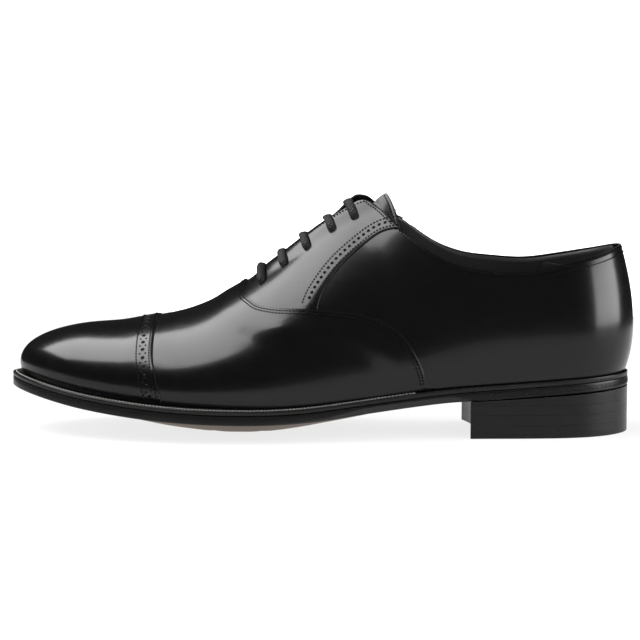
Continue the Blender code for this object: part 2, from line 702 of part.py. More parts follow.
WELT_END = .278


def round_toe(start):
    forward = np.linspace(start, 1, 26)
    return [(-1, forward), (1, forward[-2::-1])]


def round_heel(end):
    back = np.linspace(end, 0, 13)
    return [(-1, back), (1, back[-2::-1])]


def make_welt(group):
    return make_strip("welt", group, round_toe(WELT_END), sole_rim, -FLANGE, -GAP - WELT, -GAP,
                      colour=SOLE_BLACK, roughness=0.4)


def make_rand(group):
    return make_strip("heel_rand", group, round_heel(WELT_END - .003), sole_rim, -FLANGE, -GAP - WELT, -GAP,
                      colour=SOLE_BLACK, roughness=0.4)


def make_rib(group):
    return make_strip("insole_rib", group, round_toe(RIB_START), lambda side, x: -8.6 + 0 * x, -10.2, -GAP - WELT,
                      INSOLE_UNDER - 1.6, colour=(0.7, 0.65, 0.55), roughness=0.9)


def inset(amount):
    return lambda side, x: -amount + 0 * x


def make_insole(group):
    bottom = lens(inset(6.0), INSOLE_UNDER, INNER_STATIONS)
    top = lens(inset(6.0), INSOLE_UNDER + INSOLE, INNER_STATIONS)
    return slab("insole", group, bottom, top, colour=TAN, roughness=0.7)


def make_sock(group):
    level = INSOLE_UNDER + INSOLE + GAP
    bottom = lens(inset(6.4), level, INNER_STATIONS)
    top = lens(inset(6.4), level + SOCK, INNER_STATIONS)
    return slab("sock_lining", group, bottom, top, colour=LINING_BLACK, roughness=0.6)


def make_cork(group):
    stations = np.linspace(*CORK_RANGE, 15)
    bottom = lens(inset(11.5), -WELT + GAP, stations)
    top = lens(inset(11.5), 2.4, stations)
    return slab("cork_filler", group, bottom, top, colour=(0.45, 0.3, 0.16), roughness=0.95)


def make_shank(group):
    stations = np.linspace(*SHANK_RANGE, 9)
    bottom = lens(inset(21.0), 2.8, stations, 3)
    top = lens(inset(21.0), 4.3, stations, 3)
    return slab("shank", group, bottom, top, colour=(0.5, 0.5, 0.5), roughness=0.4, metallic=1.0)


def heel_plan(outset, front=None, rear=None):
    """The heel's outline from its concave breast round the back, or the part between two lines across."""
    stations = np.linspace(HEEL_FRONT, 0, 15)
    sides = {k: rim(k, stations, outset + 0 * stations) for k in (-1, 1)}
    edge = np.concatenate([sides[-1], sides[1][-2::-1]])
    low = BREAST_X if front is None else front
    high = edge[:, 0].max() + 1 if rear is None else rear
    lateral = edge[:len(stations)]
    medial = edge[len(stations) - 1:]

    def crossing(part, x):
        order = np.argsort(part[:, 0])
        return np.array([x, np.interp(x, part[order, 0], part[order, 1])])

    inner = [p for p in edge if low + .5 < p[0] < high - .5]
    split = sum(1 for p in inner if p[1] < CENTRE_Y)
    plan = [crossing(lateral, low)] + inner[:split]
    if rear is not None:
        plan += [crossing(lateral, high), crossing(medial, high)]
    plan += inner[split:] + [crossing(medial, low)]
    return plan


def with_breast(plan, depth):
    """Curves the plan's straight front edge inwards."""
    a, b = np.asarray(plan[-1]), np.asarray(plan[0])
    arc = []
    for t in np.linspace(0, 1, 9)[1:-1]:
        arc.append(a + (b - a) * t + np.array([depth * 4 * t * (1 - t), 0]))
    return plan + arc


def make_heel(group):
    items = []
    plan = with_breast(heel_plan(HEEL_RIM), BREAST_DEPTH)
    seat = -(WELT + 2 * GAP) - OUTSOLE - GAP
    ends = [BREAST_X, HEEL_END_X]
    under = [float(FEATHER_Z(x)) + seat - GAP for x in ends]
    base = TOP_PIECE + GAP
    for index in range(3):
        lower = base + index * (LIFT + GAP)
        top = (lambda x, z=lower + LIFT: z) if index < 2 else (lambda x: np.interp(x, ends, under))
        items.append(plate(f"heel_lift_{3 - index}", group, plan, lambda x, z=lower: z, top,
                           colour=SOLE_BLACK, roughness=0.35))
    front = plate("top_piece_leather", group, with_breast(heel_plan(HEEL_RIM, rear=RUBBER_X - GAP),
                  BREAST_DEPTH), lambda x: 0.0, lambda x: TOP_PIECE, colour=TAN, roughness=0.6)
    back = plate("top_piece_rubber", group, heel_plan(HEEL_RIM, front=RUBBER_X), lambda x: 0.0,
                 lambda x: TOP_PIECE, colour=(0.02, 0.02, 0.02), roughness=0.7)
    return items + [front, back]


def make_nails(group, cutters, leather_piece):
    holes = []
    for index, (x, y) in enumerate(NAILS, 1):
        place = Matrix.Translation(Vector((x, y, 2.6)) * MM)
        cylinder(f"heel_nail_{index}", group, 1.0, 5.0, place, colour=(0.7, 0.55, 0.25), roughness=0.3,
                 metallic=1.0)
        hole = cylinder(f"nail_hole_{index}", cutters, 1.3, 20.0, place, colour=None)
        holes.append(hole)
    cut(leather_piece, holes)


# ---------------------------------------------------------------------------------------------------------
# Eyelets and lace


def eyelet_place(side, s, v):
    """A frame on the last's surface whose Z is the outward direction."""
    turn = Vector(normal(side, s, v)).to_track_quat("Z", "Y").to_matrix().to_4x4()
    return Matrix.Translation(Vector(skin(side, s, v)) * MM) @ turn


def make_eyelets(group, cutters, pieces):
    for side, word in ((-1, "lateral"), (1, "medial")):
        holes = []
        for index, (s, v) in enumerate(EYELETS, 1):
            place = eyelet_place(side, s, v)
            outer = EYELET_BORE + EYELET_WALL
            flange = outer + EYELET_FLANGE
            profile = [(EYELET_BORE, -.9), (EYELET_BORE, -4.9), (flange, -4.9), (flange, -4.5),
                       (outer, -4.5), (outer, -.9)]
            turned(f"eyelet_{word}_{index}", group, profile, place, colour=(0.05, 0.05, 0.05),
                   roughness=0.4, metallic=1.0)
            holes.append(cylinder(f"eyelet_hole_{word}_{index}", cutters, EYELET_HOLE, 14.0, place,
                                  sides=10, colour=None))
        cut(pieces[f"facing_{word}"], holes)
        cut(pieces[f"quarter_lining_{word}"], holes)


def lace_points():
    """The laced stretch: straight bars outside, from the top row down, joined by runs inside, with both
    ends turned out towards their tails."""
    path = [skin(-1, *TAILS[-1][0][:2], TAILS[-1][0][2])]
    side = -1
    for s, v in reversed(EYELETS):
        quarter, half = v + (1 - v) * .22, v + (1 - v) * .6
        rise = [(v, LACE_DEPTH), (v, -2.4), (v, .8), (quarter, LACE_HEIGHT), (half, LACE_HEIGHT)]
        path += [skin(side, s, up, level) for up, level in rise]
        path.append(skin(side, s, 1.0, LACE_HEIGHT))
        path += [skin(-side, s, up, level) for up, level in reversed(rise)]
        side = -side
    path.append(skin(1, *TAILS[1][0][:2], TAILS[1][0][2]))
    path[0] = path[1] + (path[0] - path[1]) * .5
    path[-1] = path[-2] + (path[-1] - path[-2]) * .5
    return path


def step_from(end, before, distance):
    """The point a distance past an end, straight on from the point before it."""
    return end + (end - before) / np.linalg.norm(end - before) * distance


def make_lace(group):
    path = lace_points()
    look = {"colour": (0.02, 0.02, 0.02), "roughness": 0.5}
    shade(add_object("lace", curve_mesh("lace", path, LACE_RADIUS), group, **look), 60)
    for side, word, end, before in ((-1, "lateral", path[0], path[1]), (1, "medial", path[-1], path[-2])):
        route = [skin(side, s, v, level) for s, v, level in TAILS[side]]
        tail = [step_from(end, before, GAP)] + route
        name = f"lace_tail_{word}"
        shade(add_object(name, curve_mesh(name, tail, TAIL_RADIUS), group, **look), 60)
        toward = Vector(tail[-1] - tail[-2]).normalized()
        centre = Vector(tail[-1]) + toward * (GAP + AGLET_LENGTH / 2)
        place = Matrix.Translation(centre * MM) @ toward.to_track_quat("Z", "Y").to_matrix().to_4x4()
        cylinder(f"aglet_{word}", group, AGLET_RADIUS, AGLET_LENGTH, place, colour=(0.02, 0.02, 0.02),
                 roughness=0.3)


def hinge_point():
    """The middle of the tongue's lower edge, where it is sewn in."""
    return skin(-1, TONGUE_TOE, 1.0, TONGUE_LEVEL - TONGUE / 2)


def move_origin(item, point):
    """Puts an object's origin at a point in mm and leaves its shape where it is."""
    where = Vector(point) * MM
    item.data.transform(Matrix.Translation(-where))
    item.matrix_world = Matrix.Translation(where)


def main():
    clear_scene()
    group = collection("leather_oxford_shoe")
    cutters = collection("cutters")
    cutters.hide_render = True
    pieces = {}
    make_toe_cap(group)
    make_vamp(group)
    for side in (-1, 1):
        make_quarter(side, group)
        facing = make_facing(side, group)
        lining = make_quarter_lining(side, group)
        pieces[facing.name] = facing
        pieces[lining.name] = lining
    move_origin(make_tongue(group), hinge_point())
    make_vamp_lining(group)
    make_counter(group)
    make_heel_grip(group)
    make_toe_puff(group)
    make_insole(group)
    make_rib(group)
    make_cork(group)
    make_shank(group)
    make_sock(group)
    make_welt(group)
    make_rand(group)
    make_outsole(group)
    heel = make_heel(group)
    make_nails(group, cutters, heel[-2])
    make_eyelets(group, cutters, pieces)
    make_lace(group)
    for cutter in cutters.objects:
        cutter.hide_render = True
        cutter.display_type = "WIRE"


main()
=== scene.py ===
"""How the leather oxford shoe looks: the lasted leathers with their stitching and punching, the woven lace,
the welted sole and the stacked heel, in a plain studio."""

import math

import bmesh
import bpy
import numpy as np
from mathutils import Matrix, Vector


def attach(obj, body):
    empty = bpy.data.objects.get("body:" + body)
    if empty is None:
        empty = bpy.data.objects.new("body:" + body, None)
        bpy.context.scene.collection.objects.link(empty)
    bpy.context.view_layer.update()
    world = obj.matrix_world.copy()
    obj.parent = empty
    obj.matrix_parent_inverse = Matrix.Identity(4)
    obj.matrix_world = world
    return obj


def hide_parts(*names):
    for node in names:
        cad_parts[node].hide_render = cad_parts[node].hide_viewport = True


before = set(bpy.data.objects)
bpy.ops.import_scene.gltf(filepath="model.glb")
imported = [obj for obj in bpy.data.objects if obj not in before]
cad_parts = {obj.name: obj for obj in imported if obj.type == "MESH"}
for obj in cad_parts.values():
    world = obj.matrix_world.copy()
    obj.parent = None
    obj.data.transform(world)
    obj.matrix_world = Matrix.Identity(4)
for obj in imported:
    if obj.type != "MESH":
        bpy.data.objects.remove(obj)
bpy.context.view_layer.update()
MM = 0.001
BODY = "shoe"

# ---------------------------------------------------------------------------------------------------------
# The last, as the CAD has it: a surface of two sides (-1 lateral, +1 medial). Along it s runs from 0 at the
# back of the heel to 1 at the toe tip; up it v runs from 0 at the feather line to 1 at the ridge. In mm.

LATERAL = [(147.5, 0), (142.5, -14), (129, -25.5), (106, -31), (75, -32), (42, -34.5), (8, -39.5), (-28, -45),
           (-66, -43.5), (-100, -34.5), (-125, -22.5), (-141, -8), (-146.5, 5)]
MEDIAL = [(147.5, 0), (142.5, 14), (129, 25.5), (107, 30), (80, 28.5), (50, 26.5), (20, 29), (-10, 36),
          (-40, 42), (-72, 42.5), (-103, 37), (-128, 28), (-142, 17), (-146.5, 5)]
RIDGE_X = [-148, -146, -142, -136.5, -128.6, -117, -99, -81.6, -64, -46, -34.5, -26, -12.5, 3.7, 17, 31, 45,
           60, 80, 110, 144]
RIDGE_HEIGHT = [34, 37.7, 41.2, 45, 48.4, 51.1, 52.7, 55.4, 59.4, 67.4, 74, 79.3, 89.5, 101.5, 109.5, 116,
                119.5, 120.5, 119, 115, 108]
FEATHER_X = [-147, -131, -118, -99, -79, -59, -35, -10, 15, 39, 55, 86, 116, 148]
FEATHER_HEIGHT = [27.8, 24.6, 22.2, 19.6, 17.6, 16.4, 15.8, 16.4, 18.9, 21.8, 23.6, 26, 28, 29.5]
STATIONS = [0, .05, .10, .15, .20, .25, .30, .35, .40, .45, .50, .55, .60, .70, .80, .85, .90, .95, 1]
CROWN_X = [138.5, 135.5, 127, 113, 96, 77, 57, 39, 24.5, 11, -2, -15, -28, -57, -84, -95, -103, -107, -108]
CONE_STATIONS = 9
CONE_Y = [0, 7, 13.5, 18, 19, 17, 12, 4.5, 0]
TENTHS = [0, .1, .2, .3, .4, .5, .6, .7, .8, .9, 1]
BULGE = [8.8, 8.5, 8, 8, 7, 6, 6, 6, 6, 6, 6]
LOW_RISE = [.30, .30, .32, .36, .42, .48, .52, .56, .60, .68, .72]
HIGH_INSET = [0, .1, .35, .55, .70, .66, .58, .50, .45, .42, .40]
HIGH_RISE = [.70, .70, .74, .88, 1, 1, 1, 1, 1, 1, 1]
RIDGE_DRIFT = 5.0
CONE_END = 0.4
FLANGE = 7.0
CENTRE_Y = 1.88
END_SLOPE = .985

# ---------------------------------------------------------------------------------------------------------
# Panel edges as (s, v). Where two leathers overlap, the lower one runs on under the upper one.

VAMP_EDGE = [(.345, 0), (.351, .075), (.358, .121), (.365, .157), (.371, .186), (.380, .215), (.397, .256),
             (.419, .296), (.443, .326), (.468, .354), (.495, .385), (.530, .432), (.562, .486), (.585, .541),
             (.597, .577), (.609, .634), (.622, .713), (.629, .826), (.629, 1)]
CAP_EDGE = [(.729, 0), (.731, .097), (.735, .160), (.740, .259), (.745, .346), (.751, .474), (.756, .583),
            (.766, .777), (.782, 1)]
CAP_LAP = .024
TOPLINE = {-1: [(.0016, .756), (.041, .742), (.065, .719), (.101, .677), (.142, .627), (.181, .573),
                (.219, .538), (.265, .512), (.288, .509), (.305, .516), (.321, .531), (.337, .557),
                (.354, .591), (.370, .646)],
           1: [(.0016, .757), (.016, .756), (.060, .730), (.095, .696), (.148, .638), (.198, .590),
               (.224, .576), (.253, .562), (.283, .552), (.306, .561), (.328, .589), (.349, .638),
               (.360, .676)]}
FACING_REAR = [(.385, .645), (.400, .640), (.420, .622), (.447, .587), (.466, .556), (.484, .510),
               (.499, .455), (.504, .410), (.506, .375)]
FACING_TOP = [(.381, .700), (.392, .767), (.400, .822), (.408, .879), (.424, .945)]
THROAT_EDGE = [(.424, .945), (.470, .955), (.540, .962), (.600, .966), (.650, .966)]
FACING_TOE = [(.506, .375), (.548, .392), (.584, .446), (.607, .510), (.619, .560), (.631, .620),
              (.643, .700), (.650, .820), (.650, .966)]
QUARTER_TUCK = [(.395, .668), (.415, .668), (.438, .641), (.463, .611), (.482, .570), (.493, .530),
                (.498, .480), (.494, .430), (.494, .335)]
QUARTER_FOOT = [(.0016, 0), (.100, 0), (.200, 0), (.300, 0), (.338, 0), (.350, .035), (.368, .05),
                (.376, .075), (.382, .10), (.389, .125), (.398, .158), (.415, .200), (.433, .245),
                (.452, .277), (.474, .303), (.494, .335)]
QUARTER_CORNER = {-1: (.376, .652), 1: (.376, .676)}
QUARTER_FLANGE_END = .335
LINING_FLANGE_END = .6
LINING_SEAM = [(.500, 0), (.540, .25), (.580, .50), (.612, .75), (.628, .962)]
EYELETS = [(.601, .790), (.564, .818), (.524, .822), (.480, .828), (.441, .824)]
LINING_BACK_SEAM = .003
TONGUE_TOE = .632
TONGUE_TOP = .378
TONGUE_FOOT = .64
TONGUE_BEND = .425
COUNTER_REACH = .25
GRIP_REACH = .16
GRIP_HEIGHTS = [.2, .35, .5, .6]
PUFF_REAR = (.80, .84)
RIB_START = .30
CORK_RANGE = (.34, .88)
SHANK_RANGE = (.14, .50)

# ---------------------------------------------------------------------------------------------------------
# Leather and sole thicknesses and levels, in mm; a level is measured outwards from the last's surface.
# An overlap is (how far from the hidden edge a panel keeps its sunk or raised level, how far it fades over).

UPPER = 1.2
CAP_THICKNESS = 1.0
LINING = 0.9
CAP_LEVEL = 0.5
VAMP_LIFT = 0.9
TUCK = -1.4
UNDER_CAP = -1.4
FACING_LIFT = 0.9
VAMP_OVERLAP = (9, 12)
QUARTER_OVERLAP = (8, 7)
FACING_REAR_OVERLAP = (9, 9)
FACING_TOE_OVERLAP = (8, 6)
LINING_LEVEL = -2.9
BACK_LINING_LEVEL = -3.8
GRIP_LEVEL = -5.4
GRIP = 0.8
COUNTER_LEVEL = -1.65
COUNTER = 1.4
PUFF_LEVEL = -1.2
PUFF = 1.2
TONGUE_LEVEL = -8.7
TONGUE = 2.2
TONGUE_RISE = (2.7, 6.9)

WELT = 2.1
GAP = 0.3
OUTSOLE = 4.4
INSOLE_UNDER = 5.2
INSOLE = 2.4
SOCK = 1.0
RIM_X = [-146, -100, -60, 0, 40, 75, 120, 150]
SOLE_RIM = {-1: [5.1, 6.0, 6.0, 4.2, 2.5, 1.6, 1.2, 1.2], 1: [5.1, 5.0, 4.2, 1.4, 1.0, 1.4, 1.2, 1.2]}
BEVEL_X = [-150, -30, 0, 20, 60, 75, 150]
WAIST_BEVEL = [.4, .4, 1.2, 3.2, 3.2, .4, .4]
CROWN_AT = [-152, -140, -110, -75, -40, 0, 30, 60, 75, 150]
SOLE_CROWN = [0, 1.5, 4.8, 8.5, 11.0, 6.5, 4.0, 1.0, 0, 0]
FULL_CROWN_WIDTH = 60.0
BREAST_X = 70.0
BREAST_DEPTH = 5.0
HEEL_RIM = 1.2
HEEL_FRONT = .285
HEEL_END_X = 148.0
TOP_PIECE = 6.2
LIFT = 4.6
RUBBER_X = 112.0
NAILS = [(84, -20), (84, 18), (100, -22), (100, 20)]


# The lace: one flat-woven waxed cord laced straight across, its two ends tucked away inside the shoe.
LACE_RADIUS = 1.35
TAIL_RADIUS = 1.2
EYELET_BORE = 1.9
EYELET_WALL = 0.3
EYELET_HOLE = 2.5
EYELET_FLANGE = 1.1
AGLET_LENGTH = 22.0
AGLET_RADIUS = 1.5
LACE_DEPTH = -6.7
LACE_HEIGHT = 3.1
# The tucked ends as (s, v, level): down the inside of the wall beside the tongue, then towards the toe.
TAILS = {-1: [(.430, .700, -6.0), (.424, .560, -5.6), (.420, .430, -5.6), (.424, .330, -5.8),
              (.440, .260, -6.2), (.470, .225, -6.6), (.510, .215, -7.2), (.550, .215, -8.4),
              (.590, .235, -10.4), (.630, .270, -13.0)],
         1: [(.612, .640, -6.0), (.600, .520, -5.6), (.580, .420, -5.6), (.550, .340, -5.8),
             (.515, .280, -6.2), (.475, .240, -6.6), (.435, .225, -7.2), (.395, .225, -8.0),
             (.355, .225, -9.0), (.315, .225, -9.6), (.275, .225, -9.6)]}


def natural_spline(knots, values):
    """The natural cubic spline through the values, as a function."""
    t = np.asarray(knots, float)
    y = np.asarray(values, float)
    h = np.diff(t)
    n = len(t)
    a = np.eye(n)
    r = np.zeros_like(y)
    for i in range(1, n - 1):
        a[i, i - 1:i + 2] = h[i - 1], 2 * (h[i - 1] + h[i]), h[i]
        r[i] = 6 * ((y[i + 1] - y[i]) / h[i] - (y[i] - y[i - 1]) / h[i - 1])
    m = np.linalg.solve(a, r)

    def at(x):
        x = np.asarray(x, float)
        i = np.clip(np.searchsorted(t, x) - 1, 0, n - 2)
        f, g, step = t[i + 1] - x, x - t[i], h[i]
        if y.ndim > 1:
            f, g, step = f[..., None], g[..., None], step[..., None]
        return ((m[i] * f**3 + m[i + 1] * g**3) / (6 * step)
                + (y[i] / step - m[i] * step / 6) * f + (y[i + 1] / step - m[i + 1] * step / 6) * g)
    return at


def outline(mine, other):
    """One side of the feather line, running on past both ends so that the two sides meet smoothly."""
    points = np.array(other[3:0:-1] + mine + other[-2:-5:-1], float) + (0, CENTRE_Y)
    reach = np.concatenate([[0], np.cumsum(np.linalg.norm(np.diff(points, axis=0), axis=1))])
    start, end = reach[3], reach[3 + len(mine) - 1]
    return natural_spline((reach - start) / (end - start), points)


FEATHER = {-1: outline(LATERAL, MEDIAL), 1: outline(MEDIAL, LATERAL)}
RIDGE = natural_spline(RIDGE_X, RIDGE_HEIGHT)
FEATHER_Z = natural_spline(FEATHER_X, FEATHER_HEIGHT)
CROWN_LINE = natural_spline(STATIONS, CROWN_X)
CONE = natural_spline(STATIONS[:CONE_STATIONS], CONE_Y)
BULGE_AT = natural_spline(TENTHS, BULGE)
LOW_RISE_AT = natural_spline(TENTHS, LOW_RISE)
HIGH_INSET_AT = natural_spline(TENTHS, HIGH_INSET)
HIGH_RISE_AT = natural_spline(TENTHS, HIGH_RISE)


def smooth(t):
    t = np.clip(t, 0, 1)
    return t * t * (3 - 2 * t)


def outward_in_plan(side, s):
    step = 1e-3
    ahead = FEATHER[side](s + step) - FEATHER[side](s - step)
    ahead /= np.linalg.norm(ahead, axis=-1)[..., None]
    return np.stack([ahead[..., 1], -ahead[..., 0]], -1) * side


def rim(side, s, outset=0.0):
    """The feather line's plan, moved outwards; the two sides share their first and last points."""
    s = np.asarray(s, float)
    outward = outward_in_plan(side, s)
    shared = (s < 1e-6) | (s > 1 - 1e-6)
    outward = np.where(shared[..., None], (outward + outward_in_plan(-side, s)) / 2, outward)
    return FEATHER[side](s) + outward * np.asarray(outset)[..., None]


def last(side, s, v):
    """The last's surface; below v = 0 it turns in flat under the foot, by FLANGE at v = -1."""
    s, v = np.broadcast_arrays(np.asarray(s, float), np.asarray(v, float))
    under = np.clip(-v, 0, 1)
    v = np.clip(v, 0, 1)
    foot = FEATHER[side](s)
    x = CROWN_LINE(s)
    y = np.where(s < CONE_END, CONE(np.minimum(s, CONE_END)), 0) * side
    y = y + CENTRE_Y + RIDGE_DRIFT * np.clip((20 - x) / 166.5, 0, 1) ** 1.5
    span = np.hypot(foot[..., 0] - x, foot[..., 1] - y)
    a, b, c = 3 * v * (1 - v)**2, 3 * v**2 * (1 - v), v**3
    u = -a * BULGE_AT(s) / span + b * HIGH_INSET_AT(s) + c
    h = a * LOW_RISE_AT(s) + b * np.minimum(HIGH_RISE_AT(s), 1) + c
    plan = foot + (np.stack([x, y], -1) - foot) * u[..., None]
    slope = (RIDGE(x + .5) - RIDGE(x - .5)) * np.clip((s - .2) / .15, 0, 1)
    roof = RIDGE(x) + slope * (plan[..., 0] - x)
    floor = FEATHER_Z(foot[..., 0])
    z = floor + (roof - floor) * h
    turned_in = rim(side, s, -FLANGE * under)
    plan = plan + turned_in - foot
    z = z + FEATHER_Z(turned_in[..., 0]) - floor
    return np.concatenate([plan, z[..., None]], -1)


def side_normal(side, s, v):
    step = 2e-3
    s, v = np.broadcast_arrays(np.asarray(s, float), np.asarray(v, float))
    v = np.clip(v, 0, 1)
    s = np.where((s > END_SLOPE) & (v > END_SLOPE), END_SLOPE, s)
    low_s, high_s = np.clip(s - step, 0, 1), np.clip(s + step, 0, 1)
    low_v, high_v = np.clip(v - step, 0, 1), np.clip(v + step, 0, 1)
    n = np.cross(last(side, high_s, v) - last(side, low_s, v), last(side, s, high_v) - last(side, s, low_v))
    return n / np.linalg.norm(n, axis=-1)[..., None] * side


def normal(side, s, v):
    """The outward direction; shared by the two sides where they meet, mitred at the feather line."""
    s, v = np.broadcast_arrays(np.asarray(s, float), np.asarray(v, float))
    n = side_normal(side, s, v)
    shared = (s < 1e-4) | (s > .9999) | (v > .9999)
    both = np.where(shared[..., None], n + side_normal(-side, s, v), n)
    n = both / np.linalg.norm(both, axis=-1)[..., None]
    down = np.array([0, 0, -1.0])
    mitre = (n + down) / (1 + n @ down)[..., None]
    n = np.where((np.abs(v) < 1e-6)[..., None], mitre, n)
    return np.where((v < -1e-6)[..., None], down, n)


def skin(side, s, v, level=0.0):
    """Points at a level above the last's surface; nothing stands proud of it from the feather down."""
    level = np.where(np.asarray(v) < 1e-6, np.minimum(level, 0), level)
    return last(side, s, v) + normal(side, s, v) * level[..., None]


# ---------------------------------------------------------------------------------------------------------
# Camera, floor and light

CAMERA_AT = (-1.2, -998.1, 155.0)
CAMERA_TILT = 5.81
CAMERA_LENS = 116.1


def make_camera():
    data = bpy.data.cameras.new("camera")
    data.lens = CAMERA_LENS
    data.sensor_width = 36.0
    data.clip_end = 20.0
    camera = bpy.data.objects.new("camera", data)
    camera.location = [c * MM for c in CAMERA_AT]
    camera.rotation_euler = (math.radians(90 - CAMERA_TILT), 0, 0)
    bpy.context.scene.collection.objects.link(camera)
    bpy.context.scene.camera = camera


def area_light(name, at, aim, size, power):
    data = bpy.data.lights.new(name, "AREA")
    data.shape = "RECTANGLE"
    data.size, data.size_y = size
    data.energy = power
    light = bpy.data.objects.new(name, data)
    light.location = at
    light.rotation_euler = (Vector(aim) - Vector(at)).to_track_quat("-Z", "Y").to_euler()
    light.visible_camera = False
    bpy.context.scene.collection.objects.link(light)


def stage_piece(name, profile, material, reflected):
    """A part of the round studio: a (radius, height) profile in metres, turned about the vertical."""
    bm = bmesh.new()
    steps = 96
    rings = [[bm.verts.new((r * math.cos(2 * math.pi * k / steps), r * math.sin(2 * math.pi * k / steps), z))
              for k in range(steps)] for r, z in profile]
    for lower, upper in zip(rings[:-1], rings[1:]):
        for k in range(steps):
            n = (k + 1) % steps
            bm.faces.new((lower[k], lower[n], upper[n], upper[k]))
    bmesh.ops.remove_doubles(bm, verts=bm.verts, dist=0.0001)
    mesh = bpy.data.meshes.new(name)
    bm.to_mesh(mesh)
    bm.free()
    mesh.shade_smooth()
    mesh.materials.append(material)
    piece = bpy.data.objects.new(name, mesh)
    bpy.context.scene.collection.objects.link(piece)
    piece.visible_glossy = reflected


def stage_material(name, colour, glow):
    paper = bpy.data.materials.new(name)
    paper.use_nodes = True
    shader = paper.node_tree.nodes["Principled BSDF"]
    shader.inputs["Base Color"].default_value = (colour, colour, colour, 1)
    shader.inputs["Roughness"].default_value = 0.95
    shader.inputs["Specular IOR Level"].default_value = 0.0
    shader.inputs["Emission Color"].default_value = (1, 1, 1, 1)
    shader.inputs["Emission Strength"].default_value = glow
    return paper


def make_studio():
    floor = stage_material("studio_floor_paper", *FLOOR_LOOK)
    wall = stage_material("studio_wall_paper", *WALL_LOOK)
    bend = [(WALL_RADIUS - BEND + BEND * math.sin(a), BEND - BEND * math.cos(a))
            for a in np.linspace(0, math.pi / 2, 13)]
    stage_piece("studio_floor", [(0.0, 0.0), (FLOOR_RADIUS, 0.0)], floor, True)
    stage_piece("studio_wall", [(FLOOR_RADIUS, 0.0)] + bend + [(WALL_RADIUS, WALL_HEIGHT)], wall, False)
    world = bpy.data.worlds.new("studio_world")
    world.use_nodes = True
    world.node_tree.nodes["Background"].inputs["Color"].default_value = (1, 1, 1, 1)
    world.node_tree.nodes["Background"].inputs["Strength"].default_value = WORLD_LIGHT
    bpy.context.scene.world = world
    bpy.context.scene.view_settings.view_transform = "Standard"
    for light in LIGHTS:
        area_light(*light)


FLOOR_LOOK = (0.12, 0.78)
WALL_LOOK = (0.8, 0.95)
FLOOR_RADIUS = 0.6
WALL_RADIUS = 2.2
WALL_HEIGHT = 2.6
BEND = 0.5
LIGHTS = [("overhead_softbox", (-0.94, 0.04, 1.2), (-0.94, 0.04, 0.0), (1.24, 1.1), 45),
          ("front_softbox", (-0.50, -0.76, 1.2), (-0.50, -0.76, 0.0), (0.36, 0.5), 6),
          ("heel_softbox", (1.05, -0.22, 0.22), (0.0, 0.0, 0.06), (0.75, 0.45), 9.5)]
WORLD_LIGHT = 0.035

# ---------------------------------------------------------------------------------------------------------
# Materials


class Shader:
    """A material's node tree, with short ways to add nodes to it."""

    def __init__(self, name):
        self.material = bpy.data.materials.new(name)
        self.material.use_nodes = True
        self.tree = self.material.node_tree
        self.main = self.tree.nodes["Principled BSDF"]
        self.place = self.tree.nodes.new("ShaderNodeTexCoord")

    def add(self, kind, inputs=None, **settings):
        node = self.tree.nodes.new(kind)
        for name, value in settings.items():
            setattr(node, name, value)
        for name, value in (inputs or {}).items():
            if isinstance(value, bpy.types.NodeSocket):
                self.tree.links.new(value, node.inputs[name])
            else:
                node.inputs[name].default_value = value
        return node

    def set(self, **values):
        for name, value in values.items():
            socket = self.main.inputs[name.replace("_", " ")]
            if isinstance(value, bpy.types.NodeSocket):
                self.tree.links.new(value, socket)
            else:
                socket.default_value = value

    def noise(self, scale, detail=3.0, rough=0.5, where="Object"):
        return self.add("ShaderNodeTexNoise", {"Vector": self.place.outputs[where], "Scale": scale,
                                               "Detail": detail, "Roughness": rough}).outputs["Fac"]

    def ramp(self, value, low, high):
        """Maps 0..1 to low..high, for a number or a colour."""
        if isinstance(low, tuple):
            node = self.add("ShaderNodeMix", {"Factor": value}, data_type="RGBA")
            node.inputs["A"].default_value = (*low, 1) if len(low) == 3 else low
            colours = [s for s in node.inputs if s.type == "RGBA"]
            colours[0].default_value = (*low, 1)
            colours[1].default_value = (*high, 1)
            return [s for s in node.outputs if s.type == "RGBA"][0]
        node = self.add("ShaderNodeMapRange", {"Value": value, "To Min": low, "To Max": high})
        return node.outputs["Result"]

    def maths(self, operation, a, b=0.0):
        node = self.add("ShaderNodeMath", operation=operation)
        for socket, value in zip(node.inputs, (a, b)):
            if isinstance(value, bpy.types.NodeSocket):
                self.tree.links.new(value, socket)
            else:
                socket.default_value = value
        return node.outputs[0]

    def bump(self, height, distance, strength=1.0, under=None):
        inputs = {"Height": height, "Distance": distance, "Strength": strength}
        if under is not None:
            inputs["Normal"] = under
        return self.add("ShaderNodeBump", inputs).outputs["Normal"]

    def cells(self, scale, feature="DISTANCE_TO_EDGE"):
        node = self.add("ShaderNodeTexVoronoi", {"Vector": self.place.outputs["Object"], "Scale": scale},
                        feature=feature)
        return node.outputs["Distance"]


def calf(name, colour, shine, grain=1.0, coat=0.35):
    """Polished calf: fine pebbled grain with pores, a little unevenness from lasting, and a waxed top."""
    shader = Shader(name)
    pebble = shader.cells(1900.0)
    pore = shader.noise(5200.0, 2.0)
    pull = shader.noise(55.0, 2.0)
    mottle = shader.noise(120.0, 4.0, 0.6)
    normal_map = shader.bump(pull, 0.0002 * grain, 0.25)
    normal_map = shader.bump(pebble, 0.00003 * grain, 0.22, normal_map)
    normal_map = shader.bump(pore, 0.00002 * grain, 0.25, normal_map)
    light = tuple(min(1, c * 1.5) for c in colour)
    shader.set(Base_Color=shader.ramp(mottle, colour, light),
               Roughness=shader.ramp(mottle, shine - .05, shine + .07), Normal=normal_map,
               Coat_Weight=coat, Coat_Roughness=0.12, Specular_IOR_Level=0.22)
    return shader.material


